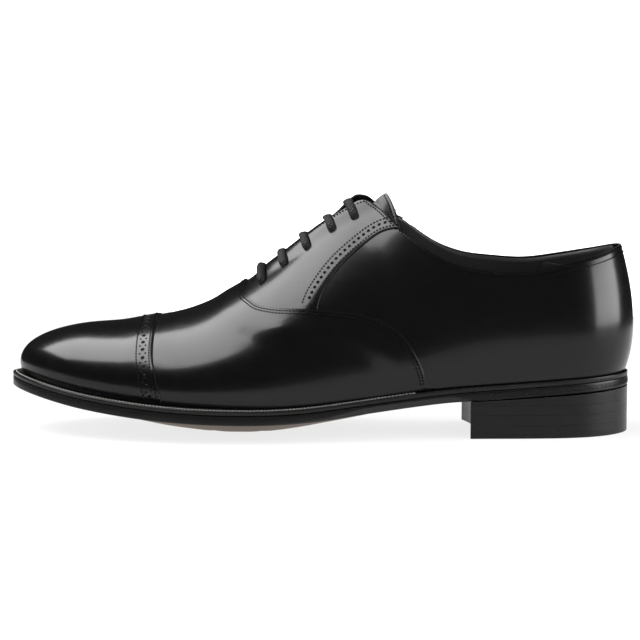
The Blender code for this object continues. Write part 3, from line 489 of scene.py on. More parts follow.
def soft_leather(name, colour, roughness):
    """Unpolished lining leather: matt, with a loose grain and faint scuffs."""
    shader = Shader(name)
    grain = shader.cells(1200.0)
    scuff = shader.noise(180.0, 6.0, 0.7)
    normal_map = shader.bump(grain, 0.0001, 0.35)
    light = tuple(min(1, c * 1.7) for c in colour)
    shader.set(Base_Color=shader.ramp(scuff, colour, light),
               Roughness=shader.ramp(scuff, roughness - .08, roughness + .1), Normal=normal_map)
    return shader.material


def waxed_edge(name, colour, roughness):
    """Burnished sole edge: layered leather fibres running level, under wax."""
    shader = Shader(name)
    stretched = shader.add("ShaderNodeMapping", {"Vector": shader.place.outputs["Object"],
                                                 "Scale": (40.0, 40.0, 1500.0)})
    fibre = shader.add("ShaderNodeTexNoise", {"Vector": stretched.outputs["Vector"], "Scale": 1.0,
                                              "Detail": 4.0}).outputs["Fac"]
    mottle = shader.noise(240.0, 4.0, 0.6)
    normal_map = shader.bump(fibre, 0.00012, 0.35)
    normal_map = shader.bump(mottle, 0.00015, 0.2, normal_map)
    light = tuple(min(1, c * 1.8) for c in colour)
    shader.set(Base_Color=shader.ramp(mottle, colour, light),
               Roughness=shader.ramp(fibre, roughness - .08, roughness + .12), Normal=normal_map,
               Coat_Weight=0.04, Coat_Roughness=0.25, Specular_IOR_Level=0.2)
    return shader.material


def tanned(name, colour):
    """Natural vegetable-tanned leather, blotched and lightly scuffed."""
    shader = Shader(name)
    blotch = shader.noise(45.0, 5.0, 0.6)
    scuff = shader.noise(900.0, 3.0, 0.6)
    normal_map = shader.bump(scuff, 0.00008, 0.4)
    dark = tuple(c * 0.72 for c in colour)
    shader.set(Base_Color=shader.ramp(blotch, dark, colour), Roughness=shader.ramp(scuff, .45, .65),
               Normal=normal_map)
    return shader.material


def grainy(name, colour, scale, depth, roughness, metallic=0.0):
    """Cork, rubber, board, canvas or metal: one noise for its colour and relief."""
    shader = Shader(name)
    speck = shader.noise(scale, 4.0, 0.65)
    dark = tuple(c * 0.6 for c in colour)
    shader.set(Base_Color=shader.ramp(speck, dark, colour), Metallic=metallic,
               Roughness=shader.ramp(speck, roughness - .08, roughness + .08),
               Normal=shader.bump(speck, depth, 0.4))
    return shader.material


def thread(name, colour):
    """Waxed sewing thread: fine twist."""
    shader = Shader(name)
    twist = shader.noise(3000.0, 2.0)
    dark = tuple(c * 0.7 for c in colour)
    shader.set(Base_Color=shader.ramp(twist, dark, colour), Roughness=0.7, Specular_IOR_Level=0.06,
               Normal=shader.bump(twist, 0.00005, 0.4))
    return shader.material


BRAID_PITCH = 1.5


def woven_lace(name):
    """Woven waxed cotton: two sets of yarns crossing at an angle, in the piece's UV map, whose u is its
    length in mm and v its girth in mm."""
    shader = Shader(name)
    parts = shader.add("ShaderNodeSeparateXYZ", {"Vector": shader.place.outputs["UV"]})
    u, v = parts.outputs["X"], parts.outputs["Y"]
    turn = 2 * math.pi / BRAID_PITCH

    def family(sign):
        lean = shader.maths("ADD", shader.maths("MULTIPLY", u, turn), shader.maths("MULTIPLY", v, sign * turn))
        return shader.maths("ABSOLUTE", shader.maths("SINE", shader.maths("MULTIPLY", lean, .5)))
    weave = shader.maths("MULTIPLY", family(1.0), family(-1.0))
    fuzz = shader.noise(4000.0, 3.0)
    normal_map = shader.bump(weave, 0.0004, 0.6)
    normal_map = shader.bump(fuzz, 0.00008, 0.5, normal_map)
    # The base colour runs from near-black in the grooves between the yarns to lighter on their crests: painted
    # shade in the grooves.
    shader.set(Base_Color=shader.ramp(weave, (0.002, 0.002, 0.002), (0.011, 0.011, 0.011)),
               Roughness=shader.ramp(weave, .62, .45), Specular_IOR_Level=0.28, Normal=normal_map)
    return shader.material


def make_materials():
    return {
        "calf": calf("black_calf", (0.0014, 0.0014, 0.0015), 0.22, 1.0, 0.17),
        "facing": calf("facing_calf", (0.0016, 0.0016, 0.0017), 0.25, 1.0, 0.17),
        "cap": calf("cap_calf", (0.0013, 0.0013, 0.0014), 0.20, 0.8, 0.17),
        "cut": calf("cut_leather", (0.016, 0.016, 0.016), 0.45, 1.5, 0.0),
        "lining": soft_leather("black_lining", (0.006, 0.006, 0.006), 0.5),
        "suede": soft_leather("black_suede", (0.003, 0.003, 0.003), 0.9),
        "edge": waxed_edge("black_sole_edge", (0.0025, 0.0025, 0.0025), 0.30),
        "welt": waxed_edge("black_welt", (0.003, 0.003, 0.003), 0.34),
        "sole": tanned("sole_leather", (0.12, 0.08, 0.052)),
        "insole": tanned("insole_leather", (0.40, 0.25, 0.14)),
        "rubber": grainy("heel_rubber", (0.02, 0.02, 0.02), 900.0, 0.00012, 0.62),
        "cork": grainy("cork", (0.45, 0.3, 0.16), 500.0, 0.0004, 0.85),
        "board": grainy("stiffener_board", (0.5, 0.4, 0.28), 1500.0, 0.0001, 0.8),
        "canvas": grainy("rib_canvas", (0.7, 0.65, 0.55), 2500.0, 0.00015, 0.85),
        "steel": grainy("shank_steel", (0.55, 0.55, 0.56), 300.0, 0.00004, 0.35, 1.0),
        "brass": grainy("nail_brass", (0.72, 0.55, 0.25), 800.0, 0.00003, 0.3, 1.0),
        "enamel": grainy("eyelet_enamel", (0.03, 0.03, 0.03), 900.0, 0.00003, 0.35),
        "thread": thread("black_thread", (0.003, 0.003, 0.003)),
        "welt_thread": thread("welt_thread", (0.30, 0.29, 0.27)),
        # A flat matte near-black for the discs in the punched holes: painted shade for the holes' inside.
        "punch": thread("hole_shade_paint", (0.0012, 0.0012, 0.0012)),
        "lace": woven_lace("woven_lace"),
        "aglet": grainy("aglet_shell", (0.015, 0.015, 0.015), 1500.0, 0.00003, 0.25),
    }


# ---------------------------------------------------------------------------------------------------------
# Building helpers


def add_sheet(bm, points, keep=None, flip=False):
    """Faces between the rows of a grid of points in mm; keep says which faces to make."""
    rows, columns = points.shape[:2]
    verts = [[bm.verts.new(points[i, j] * MM) for j in range(columns)] for i in range(rows)]
    for i in range(rows - 1):
        for j in range(columns - 1):
            if keep is None or keep[i, j]:
                bm.faces.new((verts[i][j], verts[i][j + 1], verts[i + 1][j + 1], verts[i + 1][j]))


def tidy(bm):
    bmesh.ops.delete(bm, geom=[v for v in bm.verts if not v.link_faces], context="VERTS")
    bmesh.ops.remove_doubles(bm, verts=bm.verts, dist=0.00003)
    bmesh.ops.dissolve_degenerate(bm, edges=bm.edges, dist=0.00001)


def point_outwards(bm, inside):
    bmesh.ops.recalc_face_normals(bm, faces=bm.faces)
    away = sum((f.calc_center_median() - inside).dot(f.normal) * f.calc_area() for f in bm.faces)
    if away < 0:
        bmesh.ops.reverse_faces(bm, faces=bm.faces)


def add_piece(name, mesh, materials, body=BODY, nodes=()):
    item = bpy.data.objects.new(name, mesh)
    bpy.context.scene.collection.objects.link(item)
    for material in materials:
        mesh.materials.append(material)
    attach(item, body)
    if nodes:
        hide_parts(*nodes)
    return item


def shade(item, angle=40):
    item.data.shade_smooth()
    item.data.set_sharp_from_angle(angle=math.radians(angle))


def leather(name, node, sheets, thickness, face, edge, body=BODY, rounding=0.28, even=True):
    """A leather piece: a smooth outer face, thickened inwards, with rounded cut edges."""
    bm = bmesh.new()
    for points, keep in sheets:
        add_sheet(bm, points, keep)
    tidy(bm)
    middle = sum((v.co for v in bm.verts), Vector()) / len(bm.verts)
    point_outwards(bm, Vector((middle.x, 0, 0.03)))
    mesh = bpy.data.meshes.new(name)
    bm.to_mesh(mesh)
    bm.free()
    item = add_piece(name, mesh, [face, edge], body, [node])
    solid = item.modifiers.new("thickness", "SOLIDIFY")
    solid.thickness = thickness * MM
    solid.offset = -1
    solid.use_even_offset = even
    solid.material_offset_rim = 1
    if rounding:
        soft = item.modifiers.new("cut_edge", "BEVEL")
        soft.width = rounding * MM
        soft.segments = 2
        soft.limit_method = "ANGLE"
        soft.angle_limit = math.radians(60)
    shade(item)
    return item


def along(points, count):
    points = np.asarray(points, float)
    reach = np.concatenate([[0], np.cumsum(np.hypot(*np.diff(points, axis=0).T))])
    at = np.linspace(0, reach[-1], count)
    return np.stack([np.interp(at, reach, points[:, k]) for k in (0, 1)], -1)


def eased(points, count):
    """Evenly spaced points on the smooth curve through (s, v) points."""
    points = np.asarray(points, float)
    reach = np.concatenate([[0], np.cumsum(np.hypot(*np.diff(points, axis=0).T))])
    return along(natural_spline(reach, points)(np.linspace(0, reach[-1], 4 * count)), count)


def patch(foot, top, back, front, rows, columns):
    """A Coons patch in (s, v) between four edges; foot and top run forward, back and front run up."""
    foot, top = along(foot, columns), along(top, columns)
    back, front = along(back, rows), along(front, rows)
    u = np.linspace(0, 1, columns)[None, :, None]
    w = np.linspace(0, 1, rows)[:, None, None]
    corners = ((1 - u) * (1 - w) * foot[0] + u * (1 - w) * foot[-1]
               + (1 - u) * w * top[0] + u * w * top[-1])
    return ((1 - w) * foot[None] + w * top[None] + (1 - u) * back[:, None] + u * front[:, None] - corners)


def away_from(side, grid, edge):
    """Distance in mm from each grid point to an edge given in (s, v)."""
    fine = along(edge, 160)
    near = last(side, fine[:, 0], fine[:, 1])
    here = last(side, grid[..., 0], grid[..., 1])
    out = np.empty(grid.shape[:-1])
    for i in range(len(grid)):
        out[i] = np.linalg.norm(here[i][..., None, :] - near, axis=-1).min(-1)
    return out


def near(side, grid, edge, overlap):
    """1 close to an edge, fading to 0 as its overlap says."""
    return 1 - smooth((away_from(side, grid, edge) - overlap[0]) / overlap[1])


def edge_at(edge, v):
    """An edge's s at each v, along a smooth curve."""
    fine = eased(edge, 200)
    return np.interp(v, fine[:, 1], fine[:, 0])


# ---------------------------------------------------------------------------------------------------------
# Levels of the panels over the last


def cap_level(side, grid):
    over = CAP_STEP * near(side, grid, CAP_EDGE, CAP_SHOWN_OVERLAP)
    return (CAP_LEVEL + over) * smooth(grid[..., 1] / .06)


def vamp_level(side, grid):
    s = grid[..., 0]
    corner = FACING_LOW * smooth((s - .485) / .02) * smooth((.60 - s) / .04)
    return (VAMP_STEP + corner) * near(side, grid, VAMP_EDGE, VAMP_OVERLAP) * smooth(grid[..., 1] / .08)


def mouth_flare(side, grid):
    """The topline's front half stands away from the foot a little."""
    fade = smooth((grid[..., 0] - .25) / .08)
    return MOUTH_FLARE * fade * np.clip(1 - away_from(side, grid, TOPLINE[side]) / FLARE_REACH, 0, 1) ** 1.4


def quarter_level(side, grid):
    return mouth_flare(side, grid)


def facing_level(side, grid):
    rear, _, _, toe = facing_edges(side)
    s, v = grid[..., 0], grid[..., 1]
    raised = FACING_STEP * np.clip(1 - away_from(side, grid, rear) / FACING_FALL, 0, 1) ** 1.4
    edge = eased(VAMP_EDGE[:-1], 200)
    below = (v < np.interp(s, edge[:, 0], edge[:, 1])) | (s > edge[-1, 0])
    above = np.where(below, -1, 1) * away_from(side, grid, VAMP_EDGE)
    raised -= np.maximum(raised - FACING_LOW, 0) * (1 - smooth((above - .4) / 2))
    arched = THROAT_LIFT * smooth((v - .78) / .18) * smooth((.63 - s) / .05)
    flare = TOP_FLARE[side] * smooth((.475 - s) / .055) * smooth((v - .72) / .2)
    return raised + arched + flare + mouth_flare(side, grid)


def lining_level(side, grid):
    back = (BACK_LINING_LEVEL - LINING_LEVEL) * smooth((.36 - grid[..., 0]) / .07)
    return LINING_LEVEL + back + mouth_flare(side, grid)


SKIVED_CAP = 0.65
SKIVED = 0.8
CAP_STEP = 0.22
CAP_SHOWN_OVERLAP = (9, 9)
VAMP_STEP = 0.86
FACING_STEP = 1.1
FACING_FALL = 16
FACING_THICKNESS = 1.0
FACING_LOW = 0.55
MOUTH_FLARE = 1.2
FLARE_REACH = 20
THROAT_LIFT = 2.2
TOP_FLARE = {-1: 0.3, 1: 3.6}
FACING_SHOWN_REAR = [(.385, .645), (.400, .640), (.420, .622), (.447, .587), (.466, .556), (.485, .510),
                     (.501, .455), (.508, .410), (.512, .370)]
QUARTER_UNDER = [(.400, .690), (.425, .685), (.450, .655), (.476, .615), (.496, .570), (.512, .520),
                 (.522, .460), (.528, .400), (.530, .330)]
QUARTER_BELOW = [(.0003, 0), (.100, 0), (.200, 0), (.300, 0), (.345, 0), (.360, .02), (.378, .05),
                 (.390, .09), (.405, .14), (.425, .19), (.450, .235), (.480, .27), (.530, .330)]


def facing_edges(side):
    start = TOPLINE[side][-1]
    rear = [start] + FACING_SHOWN_REAR
    top = [start] + (FACING_TOP if side < 0 else FACING_TOP[1:])
    return rear, THROAT_EDGE, top, FACING_TOE


# ---------------------------------------------------------------------------------------------------------
# The upper

FINE_ROWS = np.concatenate([[-1, -.5], np.linspace(0, 1, 38)])
SIDES = {-1: "lateral", 1: "medial"}


def band(side, rear, front, columns, level, rows=FINE_ROWS):
    """A sheet from one edge to another at fixed heights on the last, from the flange to the ridge."""
    w = np.linspace(0, 1, columns)[None]
    v = np.broadcast_to(rows[:, None], (len(rows), columns))
    s = rear(np.maximum(rows, 0))[:, None] * (1 - w) + front(np.maximum(rows, 0))[:, None] * w
    return skin(side, s, v, level(side, np.stack([s, v], -1))), None


def with_flange(side, grid, level, last_s):
    """The sheet on a patch, with a turned-in row below it as far forward as last_s."""
    row = grid[:1].copy()
    row[..., 1] = -1
    grid = np.concatenate([row, grid])
    level = np.concatenate([level[:1], level])
    keep = np.ones((len(grid) - 1, grid.shape[1] - 1), bool)
    keep[0] = grid[1, 1:, 0] < last_s
    return skin(side, grid[..., 0], grid[..., 1], level), keep


def make_uppers(look):
    cap = [band(side, lambda v: edge_at(CAP_EDGE, v), lambda v: np.ones_like(v), 44, cap_level)
           for side in SIDES]
    leather("toe_cap_calf", "toe_cap", cap, SKIVED_CAP, look["cap"], look["cut"])
    vamp = [band(side, lambda v: edge_at(VAMP_EDGE, v), lambda v: edge_at(CAP_EDGE, v) + CAP_LAP, 60,
                 vamp_level) for side in SIDES]
    leather("vamp_calf", "vamp", vamp, SKIVED, look["calf"], look["cut"])
    for side, word in SIDES.items():
        first = (QUARTER_BELOW[0][0], TOPLINE[side][0][1])
        top = eased([first] + TOPLINE[side][1:-1], 200).tolist() + [QUARTER_CORNER[side]] + QUARTER_UNDER
        grid = patch(eased(QUARTER_BELOW, 200), top, [QUARTER_BELOW[0], first],
                     [QUARTER_BELOW[-1], QUARTER_BELOW[-1]], 36, 110)
        grid[..., 1] = np.maximum(grid[..., 1], 0)
        sheet = with_flange(side, grid, quarter_level(side, grid), .335)
        leather(f"quarter_calf_{word}", f"quarter_{word}", [sheet], UPPER, look["calf"], look["cut"])
        rear, throat, top, toe = facing_edges(side)
        grid = patch(eased(rear, 200), eased(throat, 200), eased(top, 200), eased(toe, 200), 26, 60)
        points = skin(side, grid[..., 0], grid[..., 1], facing_level(side, grid))
        leather(f"facing_calf_{word}", f"facing_{word}", [(points, None)], FACING_THICKNESS, look["facing"],
                look["cut"])


def make_linings(look):
    front = [band(side, lambda v: edge_at(LINING_SEAM, np.minimum(v, .962)) + .001,
                  lambda v: np.ones_like(v), 50, lambda side, grid: LINING_LEVEL + 0 * grid[..., 0],
                  FINE_ROWS[::2]) for side in SIDES]
    leather("vamp_lining_leather", "vamp_lining", front, LINING, look["lining"], look["lining"],
            rounding=0)
    for side, word in SIDES.items():
        top = ([(LINING_BACK_SEAM, TOPLINE[side][0][1])] + TOPLINE[side][1:]
               + (FACING_TOP if side < 0 else FACING_TOP[1:]) + THROAT_EDGE[1:3] + [LINING_SEAM[-1]])
        back = [(LINING_BACK_SEAM, 0), (LINING_BACK_SEAM, TOPLINE[side][0][1])]
        grid = patch([(LINING_BACK_SEAM, 0), (.500, 0)], eased(top, 200), back, LINING_SEAM, 28, 90)
        grid[..., 1] = np.maximum(grid[..., 1], 0)
        grid[1:, :, 1] = np.maximum(grid[1:, :, 1], .01)
        sheet = with_flange(side, grid, lining_level(side, grid), .6)
        leather(f"quarter_lining_leather_{word}", f"quarter_lining_{word}", [sheet], LINING,
                look["lining"], look["lining"], rounding=0, even=False)
    grip = []
    for side in SIDES:
        s, v = np.meshgrid(np.linspace(0, .16, 26), np.linspace(.2, .6, 16))
        grip.append((skin(side, s, v, GRIP_LEVEL + 0 * s), None))
    leather("heel_grip_suede", "heel_grip", grip, GRIP, look["suede"], look["suede"])


TONGUE_FLARE = 1.15


def tongue_half(side, s, t):
    """The tongue's outer face from its side edge (t = 0) to its middle (t = 1)."""
    rear = smooth((.455 - s) / .075)
    s = s - .008 * (1 - t) * rear
    forward = rear * TONGUE_FLARE
    edge = skin(side, s, TONGUE_FOOT, TONGUE_LEVEL + forward * TONGUE_RISE[0])
    middle = skin(side, s, 1.0 + 0 * s, TONGUE_LEVEL + forward * TONGUE_RISE[1])
    plan = edge[..., :2] + (middle - edge)[..., :2] * t[..., None]
    z = edge[..., 2] + (middle - edge)[..., 2] * t * (1 + .35 * (1 - t))
    return np.concatenate([plan, z[..., None]], -1)


def make_tongue(look):
    sheets = []
    for side in SIDES:
        s, t = np.meshgrid(np.linspace(TONGUE_TOP, TONGUE_TOE, 60), np.linspace(0, 1, 18))
        sheets.append((tongue_half(side, s, t), None))
    leather("tongue_calf", "tongue", sheets, TONGUE, look["calf"], look["cut"], "tongue",
            0.5)


# ---------------------------------------------------------------------------------------------------------
# Stitching and punching


def inset_edge(side, edge, distance, toward, count=240):
    """An (s, v) curve a distance in mm from an edge, on the side of the (s, v) point toward."""
    line = eased(edge, count)
    s, v = line[:, 0], line[:, 1]
    step = 1e-3
    ds = (last(side, s + step, v) - last(side, s - step, v)) / (2 * step)
    dv = (last(side, s, np.minimum(v + step, 1)) - last(side, s, np.minimum(v + step, 1) - 2 * step)) / (2 * step)
    run = np.gradient(last(side, s, v), axis=0)
    across = np.cross(normal(side, s, v), run)
    across /= np.linalg.norm(across, axis=-1)[:, None]
    system = np.stack([ds, dv], -1)
    shift = np.stack([np.linalg.lstsq(m, a, rcond=None)[0] for m, a in zip(system, across)])
    middle = count // 2
    if np.dot(shift[middle], np.asarray(toward) - line[middle]) < 0:
        shift = -shift
    moved = line + shift * distance
    moved[:, 1] = np.clip(moved[:, 1], 0, 1)
    return moved


def on_panel(side, line, level_of, lift):
    level = level_of(side, line[None])[0] + lift
    return skin(side, line[:, 0], line[:, 1], level), normal(side, line[:, 0], line[:, 1])


def spaced(points, normals, pitch, margin=0.5):
    """Places every pitch mm along a line, with the direction and the normal there."""
    reach = np.concatenate([[0], np.cumsum(np.linalg.norm(np.diff(points, axis=0), axis=1))])
    count = int((reach[-1] - 2 * margin) / pitch)
    at = margin + (np.arange(count) + .5) * (reach[-1] - 2 * margin) / max(count, 1)
    sample = lambda a, t: np.stack([np.interp(t, reach, a[:, k]) for k in range(3)], -1)
    where = sample(points, at)
    ahead = sample(points, at + .2) - sample(points, at - .2)
    up = sample(normals, at)
    ahead /= np.linalg.norm(ahead, axis=-1)[:, None]
    up -= ahead * (up * ahead).sum(-1)[:, None]
    up /= np.linalg.norm(up, axis=-1)[:, None]
    return where, ahead, up


def repeat_shape(bm, shape, faces, places):
    """Copies a small shape in mm, given along, across and up, to many places."""
    for where, ahead, up in zip(*places):
        across = np.cross(up, ahead)
        verts = [bm.verts.new((where + ahead * a + across * b + up * c) * MM) for a, b, c in shape]
        for face in faces:
            bm.faces.new([verts[k] for k in face])


def stitch_shape(length, width, height):
    """One stitch: a slim pod that dips into the leather at both ends."""
    rings = [(-.5, .0, -.5), (-.36, .75, .2), (0, 1, .55), (.36, .75, .2), (.5, .0, -.5)]
    shape, faces = [], []
    for a, size, lift in rings:
        for k in range(6):
            turn = k * math.pi / 3
            shape.append((a * length, .5 * width * max(size, .15) * math.cos(turn),
                          height * lift + .5 * height * max(size, .15) * math.sin(turn)))
    for i in range(len(rings) - 1):
        for k in range(6):
            n = (k + 1) % 6
            faces.append((i * 6 + k, i * 6 + n, (i + 1) * 6 + n, (i + 1) * 6 + k))
    faces += [tuple(range(5, -1, -1)), tuple(range(len(shape) - 6, len(shape)))]
    return shape, faces


class Details:
    """Small repeated pieces gathered into one mesh each."""

    def __init__(self):
        self.meshes = {}

    def bm(self, name):
        return self.meshes.setdefault(name, bmesh.new())

    def stitches(self, name, points, normals, pitch=1.6, width=.72, height=.3, margin=.5, share=.72):
        shape, faces = stitch_shape(pitch * share, width, height)
        repeat_shape(self.bm(name), shape, faces, spaced(points, normals, pitch, margin))

    def holes(self, name, places, radius):
        """Punched holes: a rim of pushed-down leather round a flat dark disc, painted shade for the inside of the
        hole.
        """
        steps = 14
        turns = [2 * math.pi * k / steps for k in range(steps)]
        rings = [(radius * 1.22, -.04), (radius * 1.12, .07), (radius * 1.0, .08), (radius * .92, .02)]
        shape = [(r * math.cos(t), r * math.sin(t), h) for r, h in rings for t in turns]
        faces = [(i * steps + k, i * steps + (k + 1) % steps, (i + 1) * steps + (k + 1) % steps,
                  (i + 1) * steps + k) for i in range(len(rings) - 1) for k in range(steps)]
        repeat_shape(self.bm(name + "_rims"), shape, faces, places)
        # A flat matte dark disc over each hole: painted shade standing for the hole's inside.
        painted_pit = [(radius * .97 * math.cos(t), radius * .97 * math.sin(t), .06) for t in turns]
        repeat_shape(self.bm(name + "_shade_discs"), painted_pit, [tuple(range(steps))], places)

    def finish(self, look, body=BODY):
        for name, bm in self.meshes.items():
            mesh = bpy.data.meshes.new(name)
            bm.normal_update()
            bm.to_mesh(mesh)
            bm.free()
            mesh.shade_smooth()
            material = look["thread"]
            # The discs in the holes get a flat dark material: painted shade.
            if name.endswith("_shade_discs"):
                material = look["punch"]
            elif name.endswith("_rims"):
                material = look["cap"]
            elif name.startswith("heel"):
                material = look["edge"]
            elif name.startswith("welt"):
                material = look["welt_thread"]
            rides = "tongue" if name.startswith("tongue") else body
            add_piece(name, mesh, [material], rides)


def beside(places, offset):
    """The same places moved sideways by an offset in mm."""
    where, ahead, up = places
    return where + np.cross(up, ahead) * offset, ahead, up


def both_halves(edge, inset, toward, level_of, lift):
    """A line that runs up the lateral side, over the ridge and down the medial side."""
    halves = []
    for side in SIDES:
        line = inset_edge(side, edge, inset, toward)
        line = line[line[:, 1] > .02]
        points, normals = on_panel(side, line, level_of, lift)
        if side > 0:
            points, normals = points[::-1], normals[::-1]
        halves.append((points, normals))
    return [np.concatenate(pair) for pair in zip(*halves)]


def make_details(look):
    details = Details()
    cap_front = (.80, .5)
    for inset in (1.7, 7.9):
        details.stitches("cap_stitches", *both_halves(CAP_EDGE, inset, cap_front, cap_level, .1))
    row = spaced(*both_halves(CAP_EDGE, 4.8, cap_front, cap_level, .02), 2.4, 1.5)
    middle = [part[::2] for part in row]
    between = [part[1::2] for part in row]
    details.holes("cap_punching", middle, .85)
    for offset in (-1.35, 1.35):
        details.holes("cap_punching", beside(between, offset), .42)
    for inset in (1.2, 2.6):
        details.stitches("vamp_stitches", *both_halves(VAMP_EDGE, inset, (.62, .3), vamp_level, .1))
    for side, word in SIDES.items():
        rear, throat, top, toe = facing_edges(side)
        rear = rear[:-1]
        for inset in (1.2, 6.4):
            line = inset_edge(side, rear, inset, (.50, .62))
            details.stitches("facing_stitches", *on_panel(side, line, facing_level, .1))
        line = inset_edge(side, rear, 3.8, (.50, .62))
        places = spaced(*on_panel(side, line, facing_level, .02), 2.9, 2.6)
        details.holes("facing_punching", places, .72)
        border = inset_edge(side, top + throat[1:-1], 1.7, (.46, .80))
        details.stitches("facing_stitches", *on_panel(side, border, facing_level, .1))
        line = inset_edge(side, TOPLINE[side], 1.1, (.20, .40))
        details.stitches("topline_stitches", *on_panel(side, line, quarter_level, .1))
        line = inset_edge(side, TOPLINE[side][:6], 3.6, (.10, .40))
        details.stitches("topline_stitches", *on_panel(side, line, quarter_level, .1))
    for side in SIDES:
        s = np.full(60, TONGUE_TOP + .005)
        t = np.linspace(.12, 1, 60)
        points = tongue_half(side, s, t)
        ahead = np.gradient(points, axis=0)
        back = tongue_half(side, s + .01, t) - points
        up = np.cross(ahead, back)
        up *= np.sign(up[:, 2])[:, None]
        up /= np.linalg.norm(up, axis=-1)[:, None]
        details.stitches("tongue_stitches", points + up * .1, up)
    stations = np.linspace(.36, 1, 300)
    line = []
    for side in SIDES:
        x = FEATHER[side](stations)[..., 0]
        plan = rim(side, stations, sole_rim(side, x) - 1.7)
        z = FEATHER_Z(np.clip(plan[:, 0], -150, 150)) - GAP + .02
        points = np.concatenate([plan, z[:, None]], -1)
        line.append(points if side < 0 else points[::-1])
    points = np.concatenate(line)
    up = np.tile([0.0, 0.0, 1.0], (len(points), 1))
    details.stitches("welt_stitches", points, up, 1.7, .5, .4, share=.8)
    stations = np.linspace(.30, 0, 160)
    halves = []
    for side in SIDES:
        out = np.maximum(HEEL_RIM, sole_rim(side, FEATHER[side](stations)[..., 0]))
        halves.append(rim(side, stations, out))
    plan = np.concatenate([halves[0], halves[1][-2::-1]])
    z = FEATHER_Z(np.clip(plan[:, 0], -150, 148)) - WELT - OUTSOLE + FUDGE_DROP
    points = np.concatenate([plan, z[:, None]], -1)
    out = np.gradient(plan, axis=0)[:, ::-1] * (1, -1)
    out *= np.sign((out * (plan - (90, 0))).sum(-1))[:, None]
    out = np.concatenate([out / np.linalg.norm(out, axis=-1)[:, None], np.zeros((len(out), 1))], -1)
    details.stitches("heel_fudging", points, out, 1.05, 2.6, .22, share=.55)
    details.finish(look)


FUDGE_DROP = 1.7


# ---------------------------------------------------------------------------------------------------------
# The bottom


def crown(t, x, width):
    """How far the sole sags below its rim, t of the way across."""
    depth = np.interp(x, CROWN_AT, SOLE_CROWN) * smooth(width / FULL_CROWN_WIDTH)
    return depth * smooth((np.minimum(t, 1 - t) - .08) / .42)


def sole_rim(side, x):
    return np.interp(x, RIM_X, SOLE_RIM[side])


def lens(outset, level, stations, across=30):
    """A grid that fills the feather line's plan, moved outwards by outset(side, x), at a level."""
    t = np.linspace(0, 1, across)[None, :]
    out = {k: outset(k, FEATHER[k](stations)[..., 0]) for k in (-1, 1)}
    sides = {k: rim(k, stations, out[k]) for k in (-1, 1)}
    plan = sides[-1][:, None] * (1 - t[..., None]) + sides[1][:, None] * t[..., None]
    own = np.linalg.norm(sides[1] - sides[-1], axis=-1)
    whole = np.maximum(own - out[-1] - out[1], 1e-3)
    x = plan[..., 0]
    across_foot = (t * own[:, None] - out[-1][:, None]) / whole[:, None]
    z = FEATHER_Z(np.clip(x, -150, 150)) + level - crown(across_foot, x, whole[:, None])
    return np.concatenate([plan, z[..., None]], -1)


FINE_STATIONS = np.concatenate([[0, .002, .005, .01, .02, .035], np.linspace(.05, .95, 110),
                                [.965, .98, .99, .995, .998, 1]])


def slab(name, node, layers, look, edge, base, keep_flat=True):
    """A sole piece from a stack of grids over the same plan: the first is its underside, the last its top,
    and the rims of those between shape its edge."""
    bm = bmesh.new()
    add_sheet(bm, layers[0])
    count = len(bm.faces)
    add_sheet(bm, layers[-1])
    for lower, upper in zip(layers[:-1], layers[1:]):
        for side in (0, -1):
            add_sheet(bm, np.stack([lower[side], upper[side]]))
            add_sheet(bm, np.stack([lower[:, side], upper[:, side]]))
    bm.faces.ensure_lookup_table()
    for face in bm.faces[:count]:
        face.material_index = 1
    tidy(bm)
    bmesh.ops.recalc_face_normals(bm, faces=bm.faces)
    mesh = bpy.data.meshes.new(name)
    bm.to_mesh(mesh)
    bm.free()
    item = add_piece(name, mesh, [look[edge], look[base]], BODY, [node])
    shade(item, 32)
    return item


def rounded(upper, thickness, bevel, corner, rim_of):
    """Layers of a sole piece with rounded top corner and a bevel or a rounded corner below."""
    def layer(inset, level):
        return lens(lambda side, x: rim_of(side, x) - inset(x), level, FINE_STATIONS)
    flat = lambda amount: (lambda x: amount + 0 * x)
    cut = lambda x: np.maximum(np.interp(x, BEVEL_X, WAIST_BEVEL) if bevel else corner + 0 * x, corner)
    layers = [layer(cut, upper - thickness)]
    middle = layer(flat(0.0), upper - thickness)
    middle[..., 2] += cut(middle[..., 0])
    layers += [middle, layer(flat(0.0), upper - corner), layer(flat(corner * .3), upper - corner * .3),
               layer(flat(corner), upper)]
    return layers


def make_bottom(look):
    upper = -(WELT + 2 * GAP)
    layers = rounded(upper, OUTSOLE, True, .35, sole_rim)
    layers[0][..., 2] = np.maximum(layers[0][..., 2], 0)
    slab("outsole_leather", "outsole", layers, look, "edge", "sole")
    make_strip("welt_leather", "welt", np.linspace(WELT_END, 1, 170), look)
    make_strip("heel_rand_leather", "heel_rand", np.linspace(WELT_END - .0006, 0, 90), look)


WELT_END = .278


